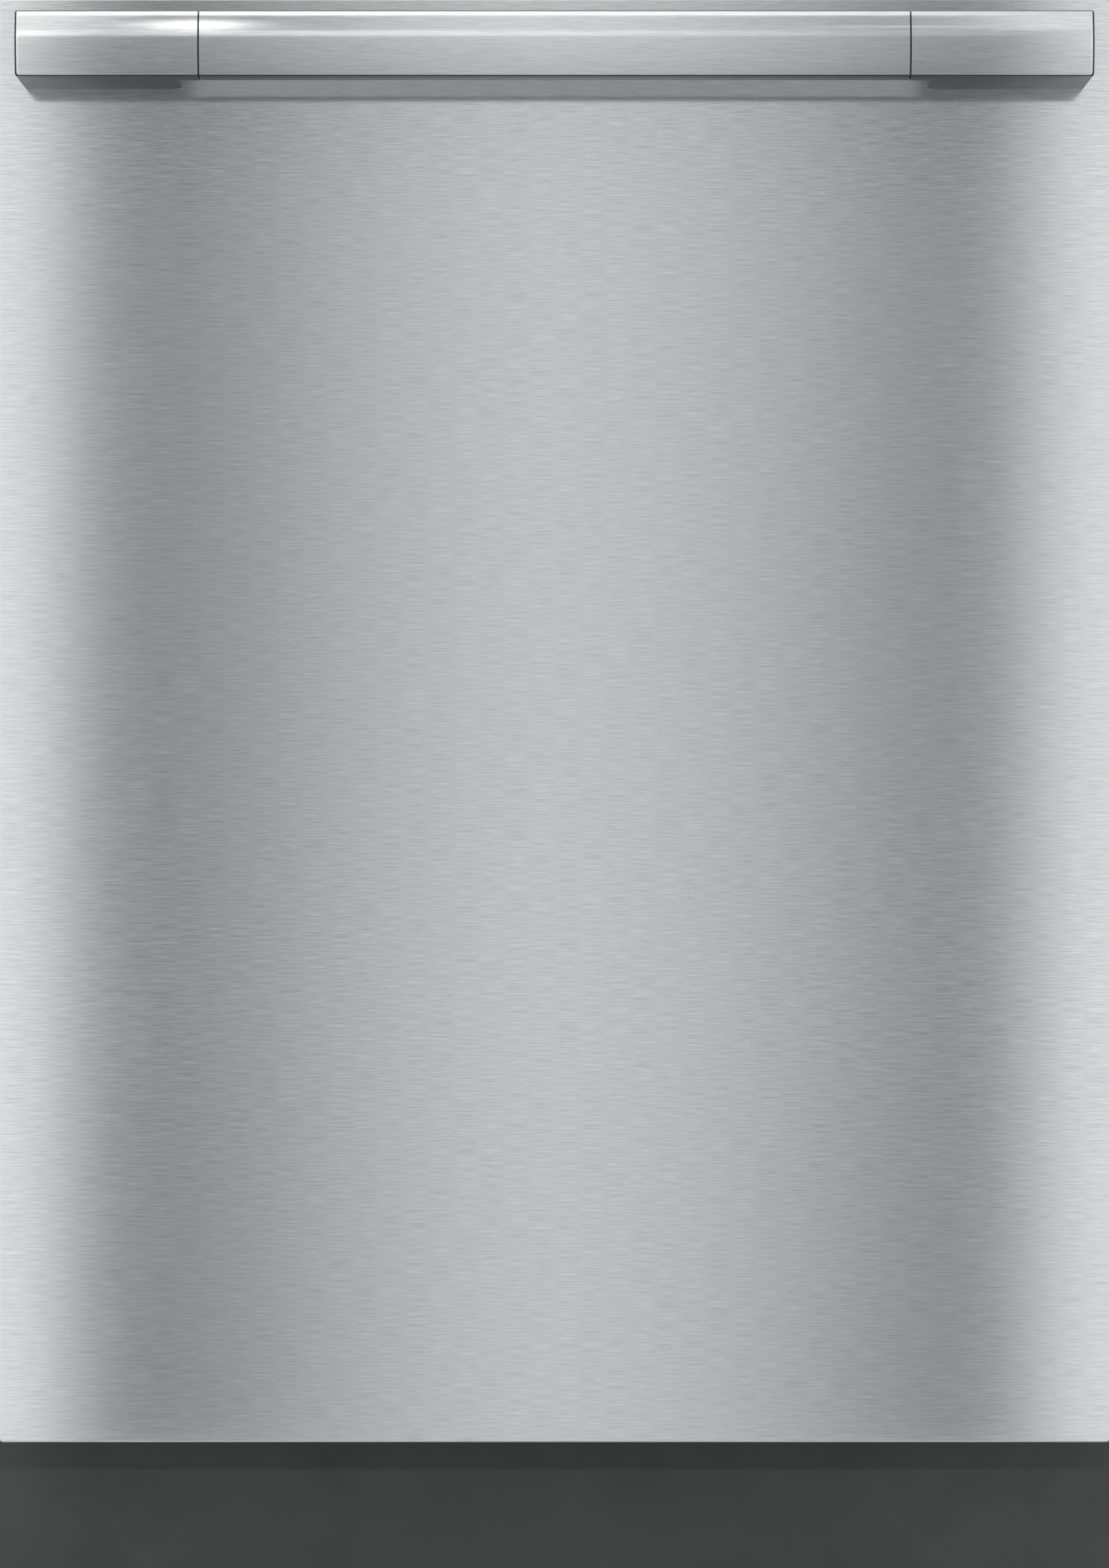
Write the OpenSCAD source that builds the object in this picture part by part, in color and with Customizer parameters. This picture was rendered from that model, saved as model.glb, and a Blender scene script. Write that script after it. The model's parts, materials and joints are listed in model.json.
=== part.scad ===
// Built-in dishwasher, 24 inch niche: +X right, +Y to the back, +Z up, millimetres.
// The origin is on the floor, under the middle of the whole appliance.

/* [Overall] */
// Width of the door front
door_w = 598; // [596:0.5:600]
// Height from the floor to the top edge of the door
unit_h = 856; // [850:1:860]
// Depth from the door face to the back
body_d = 570; // [566:1:576]
// Height of the door front
door_h = 777; // [775:1:779]
// Width of the toe kick, which fills the niche
toe_kick_w = 610; // [600:1:612]

/* [Handle] */
// How far the handle stands out from the door
handle_reach = 62; // [58:1:66]
// Length of the handle over both brackets
handle_w = 570.6; // [560:0.2:574]
// Height of the handle
handle_h = 34.8; // [32:0.2:38]
// Length of each end bracket along the handle
bracket_w = 96.8; // [90:0.2:104]
// Thickness of the bar, front to back
bar_t = 23.7; // [20:0.1:26]
// Distance from the top of the door to the top of the handle
handle_drop = 13.5; // [10:0.5:18]

/* [Sheet metal] */
// Thickness of the door and tub sheet
sheet = 1; // [0.8:0.1:1.4]
// Thickness of the cabinet's outer panels
panel = 1; // [0.8:0.1:1.2]

/* [Racks] */
// Diameter of the rack wires
wire_d = 4; // [3.4:0.2:4.2]
// Diameter of the rim wires
rim_d = 6; // [5:0.5:6]
// Height of the plate tines
tine_h = 92; // [80:1:96]
// Distance between plate tines
tine_pitch = 28; // [26:1:30]
// Radius of the lower rack's wheels
wheel_r = 16; // [15:0.5:16]

/* [Controls] */
// Length of a button along the fascia
button_w = 24; // [20:1:26]
// Depth of a button, front to back
button_d = 12; // [10:1:13]

/* [Hidden] */

$fn = 48;
wire_fn = 8;          // drawn wires are octagons
gap = 0.3;            // between parts that slide past each other
eps = 1;              // how far a cutting shape runs past a face

// Depth, front to back
back_y = (body_d + handle_reach) / 2;
front_y = back_y - body_d;          // face of the door
panel_d = 20;                       // depth of the front panel's edge
hinge_y = front_y + 30;
flange_y = front_y + 35;            // where the liner meets the gasket
mouth_y = front_y + 42;             // front flange of the tub
inner_y = front_y + 58;             // inner face of the door
tub_back_y = back_y - 26;
base_front_y = front_y + 89;
base_back_y = back_y - 27;
toe_y = front_y + 62;

// Height
door_z = unit_h - door_h;           // bottom of the door
hinge_z = door_z + 48;
spring_z = hinge_z + 10;            // where the door springs hook on
track_z = hinge_z + inner_y - hinge_y;   // the open door's inner face is level with the tub floor
ceiling_z = unit_h - 51;
base_z = 50;
base_top = track_z - sheet;
top_z = unit_h - 2;                 // top of the cabinet

// Half widths
door_x = door_w / 2;
tub_x = door_x - 31;
body_x = door_x - 1;
base_x = door_x - 10;
liner_x = door_x - 5;
bulge_x = tub_x - 6;
spring_x = base_x - 10;
clip_x = [150, 172];                // brackets that hold the toe kick

// Door
liner_z = [hinge_z + 19, ceiling_z + 12];
bulge_z = [hinge_z + 34, ceiling_z - 7];
fascia_y = [front_y + panel_d, front_y + 46];
fascia_z = [ceiling_z + 16, unit_h - 2];
button_x = [-120, -84, 120];        // power, program, start

// Handle
handle_z = [unit_h - handle_drop - handle_h, unit_h - handle_drop];
bar_back_y = front_y - handle_reach + bar_t;
bar_crown = 3;                      // rise of the curved face
bar_x = handle_w / 2 - bracket_w;
post_x = bar_x + 11.5;              // inner side of the bracket's post
post_r = 6;                         // rounding of the post's inner corner at the door
handle_screw_x = [bar_x + 35, bar_x + 75];
handle_screw_z = (handle_z[0] + handle_z[1]) / 2;

// Dispenser on the door's inner face
dispenser_x = [-150, 90];
dispenser_z = [385, 505];
dispenser_face = inner_y + 6;
cup_x = [-70, 0];
cup_z = [405, 485];
cap_x = 48;
cap_z = 445;
cap_r = 22;

// Sump, filter and pumps
sump = [0, 30];
sump_r = 105;
filter_at = [sump[0] + 50, sump[1] - 20];
filter_r = 35;
arm_z = track_z + 13;               // underside of the lower spray arm
pump_y = 40;
pump_z = 98;
drain_y = -70;
drain_z = 84;

// Racks
rack_y = [front_y + 76, tub_back_y - 20];
lower_z = track_z + 36;             // floor of the lower rack
lower_h = 104;
upper_z = track_z + 345;            // floor of the upper rack
upper_h = 104;
upper_y = [front_y + 86, tub_back_y - 28];
rack_x = 240;
wheel_y = [rack_y[0] + 62, (rack_y[0] + rack_y[1]) / 2, rack_y[1] - 42];
rail_z = [upper_z + 66, upper_z + 92];
rail_y = [front_y + 72, tub_back_y - 28];
slide_t = 6;                        // thickness of one member of a rail
rack_rail_x = tub_x - 3 * slide_t - 2 * gap;
channel_w = 12;                     // depth of the tray's channel rails
tray_z = ceiling_z - 88;
tray_y = [front_y + 88, tub_back_y - 30];
tray_x = 248;
tray_h = 34;
shelf_w = 92;
shelf_d = 240;
shelf_z = upper_z + upper_h + 2;
fold_x = [64, 138];                 // plate tine rows on the right, the second one folds
fold_z = lower_z + 8;

// Feet and connections
foot_x = 255;
foot_y = [-135, 250];
stem_r = 5;
inlet_x = -210;
drain_x = -130;
gland_x = 200;
port_z = 92;
float_at = [-232, 62];
tank_y = [-80, 220];
tank_z = [240, 700];
box_x = [104, 236];                 // control box
box_z = [base_z + 4, base_z + 76];

side_screw_y = back_y - 12;
side_screw_z = [200, 500, 800];

// ---- helpers ----

// A box given by its ranges
module slab(x, y, z)
    translate([x[0], y[0], z[0]]) cube([x[1] - x[0], y[1] - y[0], z[1] - z[0]]);

module both_sides() {
    children();
    mirror([1, 0, 0]) children();
}

// Round bars along one axis
module rod_x(x, y, z, r, fn = 48)
    translate([x[0], y, z]) rotate([0, 90, 0]) cylinder(r = r, h = x[1] - x[0], $fn = fn);
module rod_y(x, y, z, r, fn = 48)
    translate([x, y[0], z]) rotate([-90, 0, 0]) cylinder(r = r, h = y[1] - y[0], $fn = fn);
module rod_z(x, y, z, r, fn = 48)
    translate([x, y, z[0]]) cylinder(r = r, h = z[1] - z[0], $fn = fn);

// A welded wire grid in the XY plane, w by d, with nx and ny spaces and a thicker rim
module wire_grid(w, d, nx, ny, rim = wire_d) {
    for (i = [0 : nx])
        rod_y(w * i / nx, [0, d], 0, (i == 0 || i == nx ? rim : wire_d) / 2, wire_fn);
    for (j = [0 : ny])
        rod_x([0, w], d * j / ny, 0, (j == 0 || j == ny ? rim : wire_d) / 2, wire_fn);
}

// Upright tines on a base wire along Y
module comb(y, h, first = 14, base_fn = wire_fn) {
    rod_y(0, y, 0, wire_d / 2, base_fn);
    for (t = [y[0] + first : tine_pitch : y[1] - 6])
        rod_z(0, t, [0, h], wire_d / 2, wire_fn);
}

// An open wire basket: a floor grid and four walls that stand just clear of it
module basket(x, y, z, h, front_h) {
    floor_x = x - 12;
    wall = rim_d / 2 + 0.2;
    translate([-floor_x, y[0] + 12, z]) wire_grid(2 * floor_x, y[1] - y[0] - 24, 9, 9);
    both_sides()
        translate([x, y[0] + 4, z]) rotate([0, -90, 0]) translate([0, 0, -wall / 2])
            wire_grid(h, y[1] - y[0] - 8, 3, 9, rim_d);
    translate([-x + 2 * wall, y[1] - wall, z]) rotate([90, 0, 0])
        wire_grid(2 * x - 4 * wall, h, 9, 3, rim_d);
    translate([-x + 2 * wall, y[0] + wall, z]) rotate([90, 0, 0])
        wire_grid(2 * x - 4 * wall, front_h, 9, 2, rim_d);
}

// ---- cabinet ----

module base_pan() color("dimgray") difference() {
    union() {
        difference() {
            slab([-base_x, base_x], [base_front_y, base_back_y], [base_z, base_top]);
            slab([-base_x + 3, base_x - 3], [base_front_y + 3, base_back_y - 3],
                 [base_z + 3, base_top + eps]);
        }
        for (x = [-foot_x, foot_x], y = foot_y)
            rod_z(x, y, [base_z + 1, base_z + 32], 12);
        both_sides() slab(clip_x, [toe_y + sheet, base_front_y + 1], [base_z, base_z + 16]);
        both_sides() slab([272, base_x - 2], [36, 42], [base_z + 1, base_top]);
        rod_z(float_at[0], float_at[1], [base_z + 1, base_z + 40], 4);
        rod_y(drain_x, [base_back_y - 2, base_back_y + 22], port_z, 10.5);
        rod_y(gland_x, [base_back_y - 2, base_back_y + 12], port_z, 15);
    }
    for (x = [-foot_x, foot_x], y = foot_y)
        rod_z(x, y, [base_z - eps, base_z + 33], stem_r + 0.05);
    both_sides() rod_y(spring_x, [base_front_y - eps, base_front_y + 4], spring_z, 9);
    both_sides() rod_y(spring_x, [35, 43], spring_z, 1.35, 24);
    rod_y(drain_x, [base_back_y - 4, base_back_y + 23], port_z, 8.5);
    rod_y(gland_x, [base_back_y - 4, base_back_y + 13], port_z, 10.5);
    rod_y(inlet_x, [base_back_y - 4, base_back_y + 1], port_z, 18);
}

module tub() color("lightgray") {
    difference() {                       // wrapper with its front flange
        union() {
            slab([-tub_x - sheet, tub_x + sheet], [mouth_y, tub_back_y], [track_z, ceiling_z + sheet]);
            slab([-body_x + 1, body_x - 1], [mouth_y, mouth_y + sheet], [track_z, ceiling_z + 14]);
        }
        slab([-tub_x, tub_x], [mouth_y - eps, tub_back_y + eps], [track_z - eps, ceiling_z]);
    }
    difference() {                       // floor with its sill
        union() {
            slab([-tub_x - sheet, tub_x + sheet], [mouth_y, tub_back_y], [base_top, track_z]);
            slab([-tub_x, tub_x], [mouth_y, mouth_y + sheet], [track_z - 22, track_z]);
        }
        rod_z(sump[0], sump[1], [base_top - eps, track_z + eps], sump_r);
    }
    slab([-tub_x - sheet, tub_x + sheet], [tub_back_y, tub_back_y + sheet], [base_top, ceiling_z + sheet]);
}

module side_panel() {
    difference() {
        union() {
            slab([body_x - panel, body_x], [mouth_y + 6, back_y], [hinge_z + 13, top_z - 3]);
            slab([body_x - 14, body_x], [mouth_y + 6, back_y], [top_z - 3 - panel, top_z - 3]);
            for (y = [-150, 10, 170])
                slab([body_x - panel, body_x + 0.8], [y, y + 110], [250, 760]);
        }
        for (y = [-144, 16, 176])
            slab([body_x - panel - eps, body_x - panel + 0.8], [y, y + 98], [256, 754]);
        for (z = side_screw_z) rod_x([body_x - 4, body_x + 2], side_screw_y, z, 2.2, 24);
        for (z = [330, 700])
            rod_x([body_x - 4, body_x + 2], mouth_y + 14, z, 2.5, 24);
    }
}
module side_panel_right() color("gainsboro") side_panel();
module side_panel_left() color("gainsboro") mirror([1, 0, 0]) side_panel();

module back_panel() color("gainsboro") difference() {
    union() {
        slab([-body_x + panel, body_x - panel], [back_y - panel, back_y], [track_z + 10, top_z - 4]);
        for (x = [-250, -80, 90])
            slab([x, x + 160], [back_y - 3, back_y], [230, 780]);
        both_sides()
            slab([body_x - panel - 1.5, body_x - panel], [back_y - 20, back_y], [track_z + 10, top_z - 4]);
    }
    both_sides() for (z = side_screw_z)
        rod_x([body_x - 6, body_x], side_screw_y, z, 2.05, 24);
    for (x = [-244, -74, 96])
        slab([x, x + 148], [back_y - 2, back_y + eps], [236, 774]);
    for (i = [-4 : 4])
        slab([i * 24 - 8, i * 24 + 8], [back_y - 2, back_y + eps], [195, 199]);
}

module top_panel() color("gainsboro") difference() {
    slab([-body_x + panel, body_x - panel], [mouth_y + 20, back_y - panel], [top_z - 3, top_z - 2]);
    for (y = [-120, 40, 200]) rod_z(0, y, [top_z - 6, top_z], 12);
}

module insulation_mats() color("darkslategray") {
    y = [mouth_y + 32, tub_back_y - 2];
    z = [track_z + 4, ceiling_z - 5];
    both_sides() slab([tub_x + sheet + 0.5, tub_x + 6], y, z);
    slab([-tub_x, tub_x], y, [ceiling_z + 2, ceiling_z + 9]);
    slab([-tub_x, tub_x], [tub_back_y + 2, tub_back_y + 9], z);
}

module door_gasket() color("#26282a") {
    y = [flange_y + 0.2, mouth_y];
    difference() {
        slab([-tub_x - 12, tub_x + 12], y, [track_z + 2, ceiling_z + 11]);
        slab([-tub_x - 1, tub_x + 1], [y[0] - eps, y[1] + eps], [track_z, ceiling_z + 1]);
    }
    slab([-tub_x + 6, tub_x - 6], y, [track_z - 6, track_z - 1]);
}

module toe_kick() color("#3c3e3f") {
    x = [-toe_kick_w / 2, toe_kick_w / 2];
    slab(x, [toe_y, toe_y + sheet], [2, door_z - 2]);
    slab(x, [toe_y, toe_y + 12], [door_z - 2 - sheet, door_z - 2]);
    slab(x, [toe_y, toe_y + 6], [2, 2 + sheet]);
}

module sump_bowl() color("dimgray") {
    difference() {
        union() {
            rod_z(sump[0], sump[1], [98, base_top], sump_r + 3);
            rod_z(filter_at[0], filter_at[1], [62, 99], filter_r + 6);
        }
        rod_z(sump[0], sump[1], [101, base_top + eps], sump_r);
        rod_z(filter_at[0], filter_at[1], [65, 102], filter_r + 3);
    }
    rod_z(sump[0], sump[1], [101, arm_z - 1], 11);
    rod_z(sump[0], sump[1], [arm_z - 1, arm_z + 16], 6);
}

module flat_filter() color("silver") difference() {
    rod_z(sump[0], sump[1], [track_z - 4, track_z - 2], sump_r - 0.5);
    rod_z(filter_at[0], filter_at[1], [track_z - 5, track_z], filter_r + 1);
    rod_z(sump[0], sump[1], [track_z - 5, track_z], 12);
}

// A pump along X, starting at its volute's face
module pump(volute_r, volute_w, motor_r, motor_len) difference() {
    union() {
        rod_x([0, volute_w], 0, 0, volute_r);
        rod_x([-9, 1], 0, 0, volute_r * 0.4);
        rod_x([volute_w - 1, volute_w + motor_len], 0, 0, motor_r);
        rod_z(0.5 * volute_w, volute_r - 8, [0, volute_r + 2], volute_w * 0.32);
    }
    rod_x([3, volute_w - 3], 0, 0, volute_r - 4);
    rod_x([volute_w - 4, volute_w + 0.5 * motor_len], 0, 0, 4.05);
}

// Its rotor: a shaft, a back disc and curved vanes
module impeller(r, w) {
    rod_x([0, w + 22], 0, 0, 4);
    rod_x([w - 3, w], 0, 0, r);
    for (a = [0 : 60 : 359])
        rotate([a, 0, 0]) translate([0, 3, 0]) rotate([24, 0, 0]) slab([1, w - 2], [0, r - 6], [-1, 1]);
}

module at_circulation() translate([118, pump_y, pump_z]) children();
module at_drain() translate([-122, drain_y, drain_z]) mirror([1, 0, 0]) children();
module circulation_pump() color("slategray") at_circulation() pump(44, 30, 36, 112);
module drain_pump() color("slategray") at_drain() pump(27, 22, 22, 62);
module circulation_impeller() color("white") at_circulation() translate([5, 0, 0]) impeller(36, 19);
module drain_impeller() color("white") at_drain() translate([4, 0, 0]) impeller(20, 13);

module inlet_valve() color("ivory") difference() {
    union() {
        rod_y(inlet_x, [base_back_y - 20, back_y - 4], port_z, 13.2);
        slab([inlet_x - 18, inlet_x + 18], [base_back_y - 50, base_back_y - 12], [port_z - 18, port_z + 18]);
        rod_z(inlet_x, base_back_y - 31, [port_z + 17, port_z + 46], 14);
        rod_x([inlet_x + 17, inlet_x + 36], base_back_y - 31, port_z, 7);
    }
    rod_y(inlet_x, [base_back_y - 30, back_y], port_z, 9);
}

module control_box() color("darkslategray") difference() {
    y = [base_front_y + 10, base_front_y + 98];
    union() {
        slab(box_x, y, box_z);
        for (x = [box_x[0] + 12 : 26 : box_x[1] - 20])
            slab([x, x + 16], [y[1] - eps, y[1] + 8], [base_z + 20, base_z + 40]);
    }
    slab([box_x[0] + 3, box_x[1] - 3], [y[0] + 3, y[1] - 3], [box_z[0] + 3, box_z[1] - 3]);
    rod_y(box_x[0] + 20, [y[1] - 4, y[1] + eps], box_z[1] - 16, 8);
}

module air_break_tank() color("lightblue") mirror([1, 0, 0]) difference() {
    x = [tub_x + 7, body_x - 2];
    slab(x, tank_y, tank_z);
    for (z = [tank_z[0] + 50 : 70 : tank_z[1] - 60])
        slab([x[1] - 6, x[1] + eps], [tank_y[0] + 20, tank_y[1] - 20], [z, z + 44]);
    slab([x[0] + 2, x[1] - 8], [tank_y[0] + 2, tank_y[1] - 2], [tank_z[0] + 2, tank_z[1] - 2]);
    rod_z(x[0] + 7.5, tank_y[0] + 30, [tank_z[1] - 3, tank_z[1] + eps], 4.5);
}

module feed_pipe() color("gainsboro") difference() {
    union() {
        slab([-17, 17], [tub_back_y - 12, tub_back_y], [track_z, ceiling_z - 4]);
        slab([-12, 12], [sump[1], tub_back_y - 2], [ceiling_z - 15, ceiling_z - 4]);
        rod_z(sump[0], sump[1], [ceiling_z - 22, ceiling_z - 1], 15);
        rod_z(sump[0], sump[1], [ceiling_z - 36, ceiling_z - 20], 5);
        rod_y(0, [tub_back_y - 26, tub_back_y - 11], upper_z - 24, 15);
    }
    rod_y(0, [tub_back_y - 27, tub_back_y - 6], upper_z - 24, 10);
}

// Two fixed members for the upper rack and two for the cutlery tray, on the tub's walls
module tub_rails() color("silver") both_sides() {
    slab([tub_x - slide_t, tub_x], rail_y, rail_z);
    difference() {
        slab([tub_x - channel_w, tub_x], tray_y, [tray_z + 6, tray_z + 30]);
        slab([tub_x - channel_w - eps, tub_x - 3], [tray_y[0] - eps, tray_y[1] + eps],
             [tray_z + 10, tray_z + 26]);
    }
}

module hinge_brackets() color("silver") both_sides() {
    translate([base_x, hinge_y, hinge_z]) rotate([90, 0, 90])
        linear_extrude(3)
            polygon([[-12, -8], [-12, 12], [20, 20], [124, 20], [124, 4], [12, -8]]);
    rod_x([base_x - 7, base_x + 1], hinge_y, hinge_z, 4);
}

module door_lock() color("dimgray") difference() {
    union() {
        slab([-45, 45], [mouth_y + 24, mouth_y + 70], [fascia_z[0] - 4, top_z - 8]);
        slab([-60, 60], [mouth_y + 24, mouth_y + 26], [ceiling_z + sheet, top_z - 4]);
    }
    slab([-14.5, 14.5], [mouth_y + 20, mouth_y + 62], [fascia_z[0] + 9, fascia_z[0] + 19]);
}

module lock_bolt() color("silver") {
    slab([-14, 14], [fascia_y[1] - 8, mouth_y + 44], [fascia_z[0] + 10, fascia_z[0] + 18]);
}

module counter_brackets() color("silver") both_sides() difference() {
    union() {
        slab([180, 220], [mouth_y + 6, mouth_y + 60], [top_z - sheet, top_z]);
        slab([180, 220], [mouth_y + 20, mouth_y + 60], [top_z - 2, top_z - sheet]);
    }
    rod_z(200, mouth_y + 13, [top_z - 5, top_z + eps], 2.5, 24);
}

// A pan-head screw, head up along Z
module screw(shank_r, length, head_r) {
    rod_z(0, 0, [-length, 0.2], shank_r, 24);
    difference() {
        rod_z(0, 0, [0, head_r * 0.55], head_r, 24);
        slab([-head_r * 0.6, head_r * 0.6], [-0.5, 0.5], [head_r * 0.3, head_r]);
        slab([-0.5, 0.5], [-head_r * 0.6, head_r * 0.6], [head_r * 0.3, head_r]);
    }
}

module cabinet_screws() color("silver") {
    both_sides() for (z = side_screw_z)
        translate([body_x, side_screw_y, z]) rotate([0, 90, 0]) screw(2, 5, 3.2);
}

// A tension spring and its link on each side, hooked on the hinge arm's pin
module door_springs() color("gray") both_sides() {
    difference() {
        rod_x([spring_x - 1.5, spring_x + 1.5], hinge_y + 6, spring_z, 6);
        rod_x([spring_x - 2, spring_x + 2], hinge_y + 6, spring_z, 3.4);
    }
    rod_y(spring_x, [hinge_y + 11, base_front_y + 16], spring_z, 1.3, 24);
    rod_y(spring_x, [base_front_y + 15, 10], spring_z, 6.5);
    rod_y(spring_x, [9, 46], spring_z, 1.3, 24);
}

module leak_float() color("orange") difference() {
    rod_z(float_at[0], float_at[1], [base_z + 4, base_z + 24], 16);
    rod_z(float_at[0], float_at[1], [base_z + 3, base_z + 25], 4.3);
}

module filter_cylinder() color("lightsteelblue") {
    translate([filter_at[0], filter_at[1], 0]) {
        difference() {
            rod_z(0, 0, [67, track_z - 1], filter_r);
            rod_z(0, 0, [70, track_z - 4], filter_r - 2);
            rod_z(0, 0, [track_z - 5, track_z], filter_r - 10);
        }
        rod_z(0, 0, [90, track_z - 3], filter_r - 9);
        slab([-26, 26], [-4, 4], [track_z - 4, track_z + 9]);
        rod_z(0, 0, [track_z - 3.5, track_z + 4], 12);
    }
}

// A two-bladed spray arm that turns on a pin along Z; its underside is at z = 0
module spray_arm(length, root_w, tip_w, h, pin_r) difference() {
    union() {
        rod_z(0, 0, [0, h + 2], root_w / 2 + 4);
        for (a = [0, 180]) rotate([0, 0, a]) {
            translate([0, 0, 1]) linear_extrude(h - 1)
                polygon([[0, -root_w / 2], [length * 0.4, -root_w / 2 + 2],
                         [length - tip_w / 2, -tip_w / 2 - 4], [length, -tip_w / 2 + 4],
                         [length, tip_w / 2 - 6], [length * 0.5, root_w / 2 - 3], [0, root_w / 2]]);
            for (x = [length * 0.3 : length * 0.16 : length * 0.9])
                rod_z(x, -3, [h - 1, h + 1.5], 4, 24);
        }
    }
    rod_z(0, 0, [-eps, h + 3], pin_r + 0.05);
}

module lower_spray_arm() color("gainsboro")
    translate([sump[0], sump[1], arm_z]) rotate([0, 0, 24]) spray_arm(214, 40, 28, 11, 6);
module middle_spray_arm() color("gainsboro")
    translate([sump[0], sump[1], upper_z - 46]) rotate([0, 0, -32]) spray_arm(196, 36, 26, 10, 6);
module top_spray_arm() color("gainsboro")
    translate([sump[0], sump[1], ceiling_z - 34]) rotate([0, 0, 62]) spray_arm(105, 26, 20, 8, 5);

// A levelling foot: pad, hexagon and threaded stem
module foot(x, y) color("#2b2d2f") translate([x, y, 0]) {
    rod_z(0, 0, [0, 6], 20);
    rod_z(0, 0, [5.5, 16], 13, 6);
    rod_z(0, 0, [15, 128], stem_r);
}
module foot_front_left() foot(-foot_x, foot_y[0]);
module foot_front_right() foot(foot_x, foot_y[0]);
module foot_rear_left() foot(-foot_x, foot_y[1]);
module foot_rear_right() foot(foot_x, foot_y[1]);

// ---- door ----

module front_panel() color("silver") difference() {
    slab([-door_x, door_x], [front_y, front_y + panel_d], [door_z, unit_h]);
    slab([-door_x + sheet, door_x - sheet], [front_y + sheet, front_y + panel_d + eps],
         [door_z + sheet, unit_h - sheet]);
    both_sides() for (x = handle_screw_x)
        rod_y(x, [front_y - eps, front_y + 3], handle_screw_z, 2.75);
}

// The liner's outer form, taken in by g
module liner_form(g) {
    slab([-liner_x + g, liner_x - g], [front_y + panel_d - (g > 0 ? eps : 0), flange_y - g],
         [liner_z[0] + g, liner_z[1] - g]);
    slab([-bulge_x + g, bulge_x - g], [flange_y - g - 2, inner_y - g], [bulge_z[0] + g, bulge_z[1] - g]);
}

module door_liner() color("lightgray") difference() {
    liner_form(0);
    liner_form(1.2);
    slab([dispenser_x[0] + 5, dispenser_x[1] - 5], [inner_y - 3, inner_y + 1],
         [dispenser_z[0] + 5, dispenser_z[1] - 5]);
    both_sides()
        slab([base_x - 6, base_x], [front_y + panel_d - eps, hinge_y + 12], [liner_z[0] - eps, liner_z[0] + 2]);
    for (x = [-60 : 40 : 60])
        slab([x - 12, x + 12], [inner_y - 3, inner_y + 1], [720, 724]);
}

module door_insulation() color("darkslategray")
    slab([-255, 255], [front_y + 4, front_y + 22], [bulge_z[0] + 14, bulge_z[1] - 20]);

module control_fascia() color("#1e2021") difference() {
    slab([-liner_x, liner_x], fascia_y, fascia_z);
    slab([-liner_x + 2, liner_x - 2], [fascia_y[0] - eps, fascia_y[1] - 2],
         [fascia_z[0] + 2, fascia_z[1] - 2]);
    for (x = button_x) at_button(x) cube([button_w + 0.6, button_d + 0.6, 10], center = true);
    slab([-48, 78], [fascia_y[0] + 6, fascia_y[1] - 5], [fascia_z[1] - 1, fascia_z[1] + eps]);
    slab([-16, 16], [fascia_y[1] - 3, fascia_y[1] + eps], [fascia_z[0] + 8, fascia_z[0] + 20]);
}

module display_window() color("#101418")
    slab([-47.8, 77.8], [fascia_y[0] + 6.2, fascia_y[1] - 5.2], [fascia_z[1] - 1, fascia_z[1]]);

module at_button(x) translate([x, (fascia_y[0] + fascia_y[1]) / 2, fascia_z[1]]) children();
module button(x) color("silver") at_button(x) {
    slab([-button_w / 2, button_w / 2], [-button_d / 2, button_d / 2], [-4, 1]);
    slab([-button_w / 2 - 1.5, button_w / 2 + 1.5], [-button_d / 2 - 1.5, button_d / 2 + 1.5], [-5, -2.05]);
}
module power_button() button(button_x[0]);
module program_button() button(button_x[1]);
module start_button() button(button_x[2]);

// Section of the bar in (Y, Z): flat back, top and underside, and a crowned face
function bar_section() =
    let (half = handle_h / 2, r = (half * half + bar_crown * bar_crown) / (2 * bar_crown), a = asin(half / r))
    concat([[bar_back_y, handle_z[0]], [bar_back_y, handle_z[1]]],
           [for (i = [0 : 16]) let (t = a - 2 * a * i / 16)
               [front_y - handle_reach + r - r * cos(t), handle_z[0] + half + r * sin(t)]]);

module bar_length(x)
    translate([x[0], 0, 0]) rotate([90, 0, 90]) linear_extrude(x[1] - x[0]) polygon(bar_section());

// The bar and the brackets' front parts are hollow
module bar_core(x)
    slab(x, [front_y - handle_reach + bar_crown + 3, bar_back_y - 3], [handle_z[0] + 4, handle_z[1] - 4]);

module handle_bar() color("silver") difference() {
    bar_length([-bar_x + 0.25, bar_x - 0.25]);
    bar_core([-bar_x, bar_x]);
}

module handle_bracket() difference() {
    union() {
        bar_length([bar_x, handle_w / 2]);
        slab([post_x, handle_w / 2], [bar_back_y - 0.5, front_y - post_r], handle_z);
        slab([post_x + post_r, handle_w / 2], [front_y - 10, front_y], handle_z);
        rod_z(post_x + post_r, front_y - post_r, handle_z, post_r);
    }
    bar_core([bar_x - eps, handle_w / 2 - 10]);
    for (x = handle_screw_x)
        rod_y(x, [front_y - 16, front_y + eps], handle_screw_z, 2.5);
}
module handle_bracket_right() color("silver") handle_bracket();
module handle_bracket_left() color("silver") mirror([1, 0, 0]) handle_bracket();

module handle_screws() color("silver") both_sides() for (x = handle_screw_x)
    translate([x, front_y + sheet, handle_screw_z]) rotate([-90, 0, 0]) screw(2.45, 16, 4.6);

module hinge_arms() color("silver") both_sides() difference() {
    union() {
        slab([base_x - 5, base_x - 1], [front_y + panel_d + 1, flange_y - 1.2], [hinge_z, hinge_z + 300]);
        rod_x([base_x - 5, base_x - 1], hinge_y, hinge_z, 10);
        slab([base_x - 5, base_x - 1], [hinge_y - 2, hinge_y + 10], [hinge_z, hinge_z + 17.5]);
        rod_x([base_x - 13, base_x - 4], hinge_y + 6, spring_z, 2.8);
    }
    rod_x([base_x - 6, base_x], hinge_y, hinge_z, 4.05);
}

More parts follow.
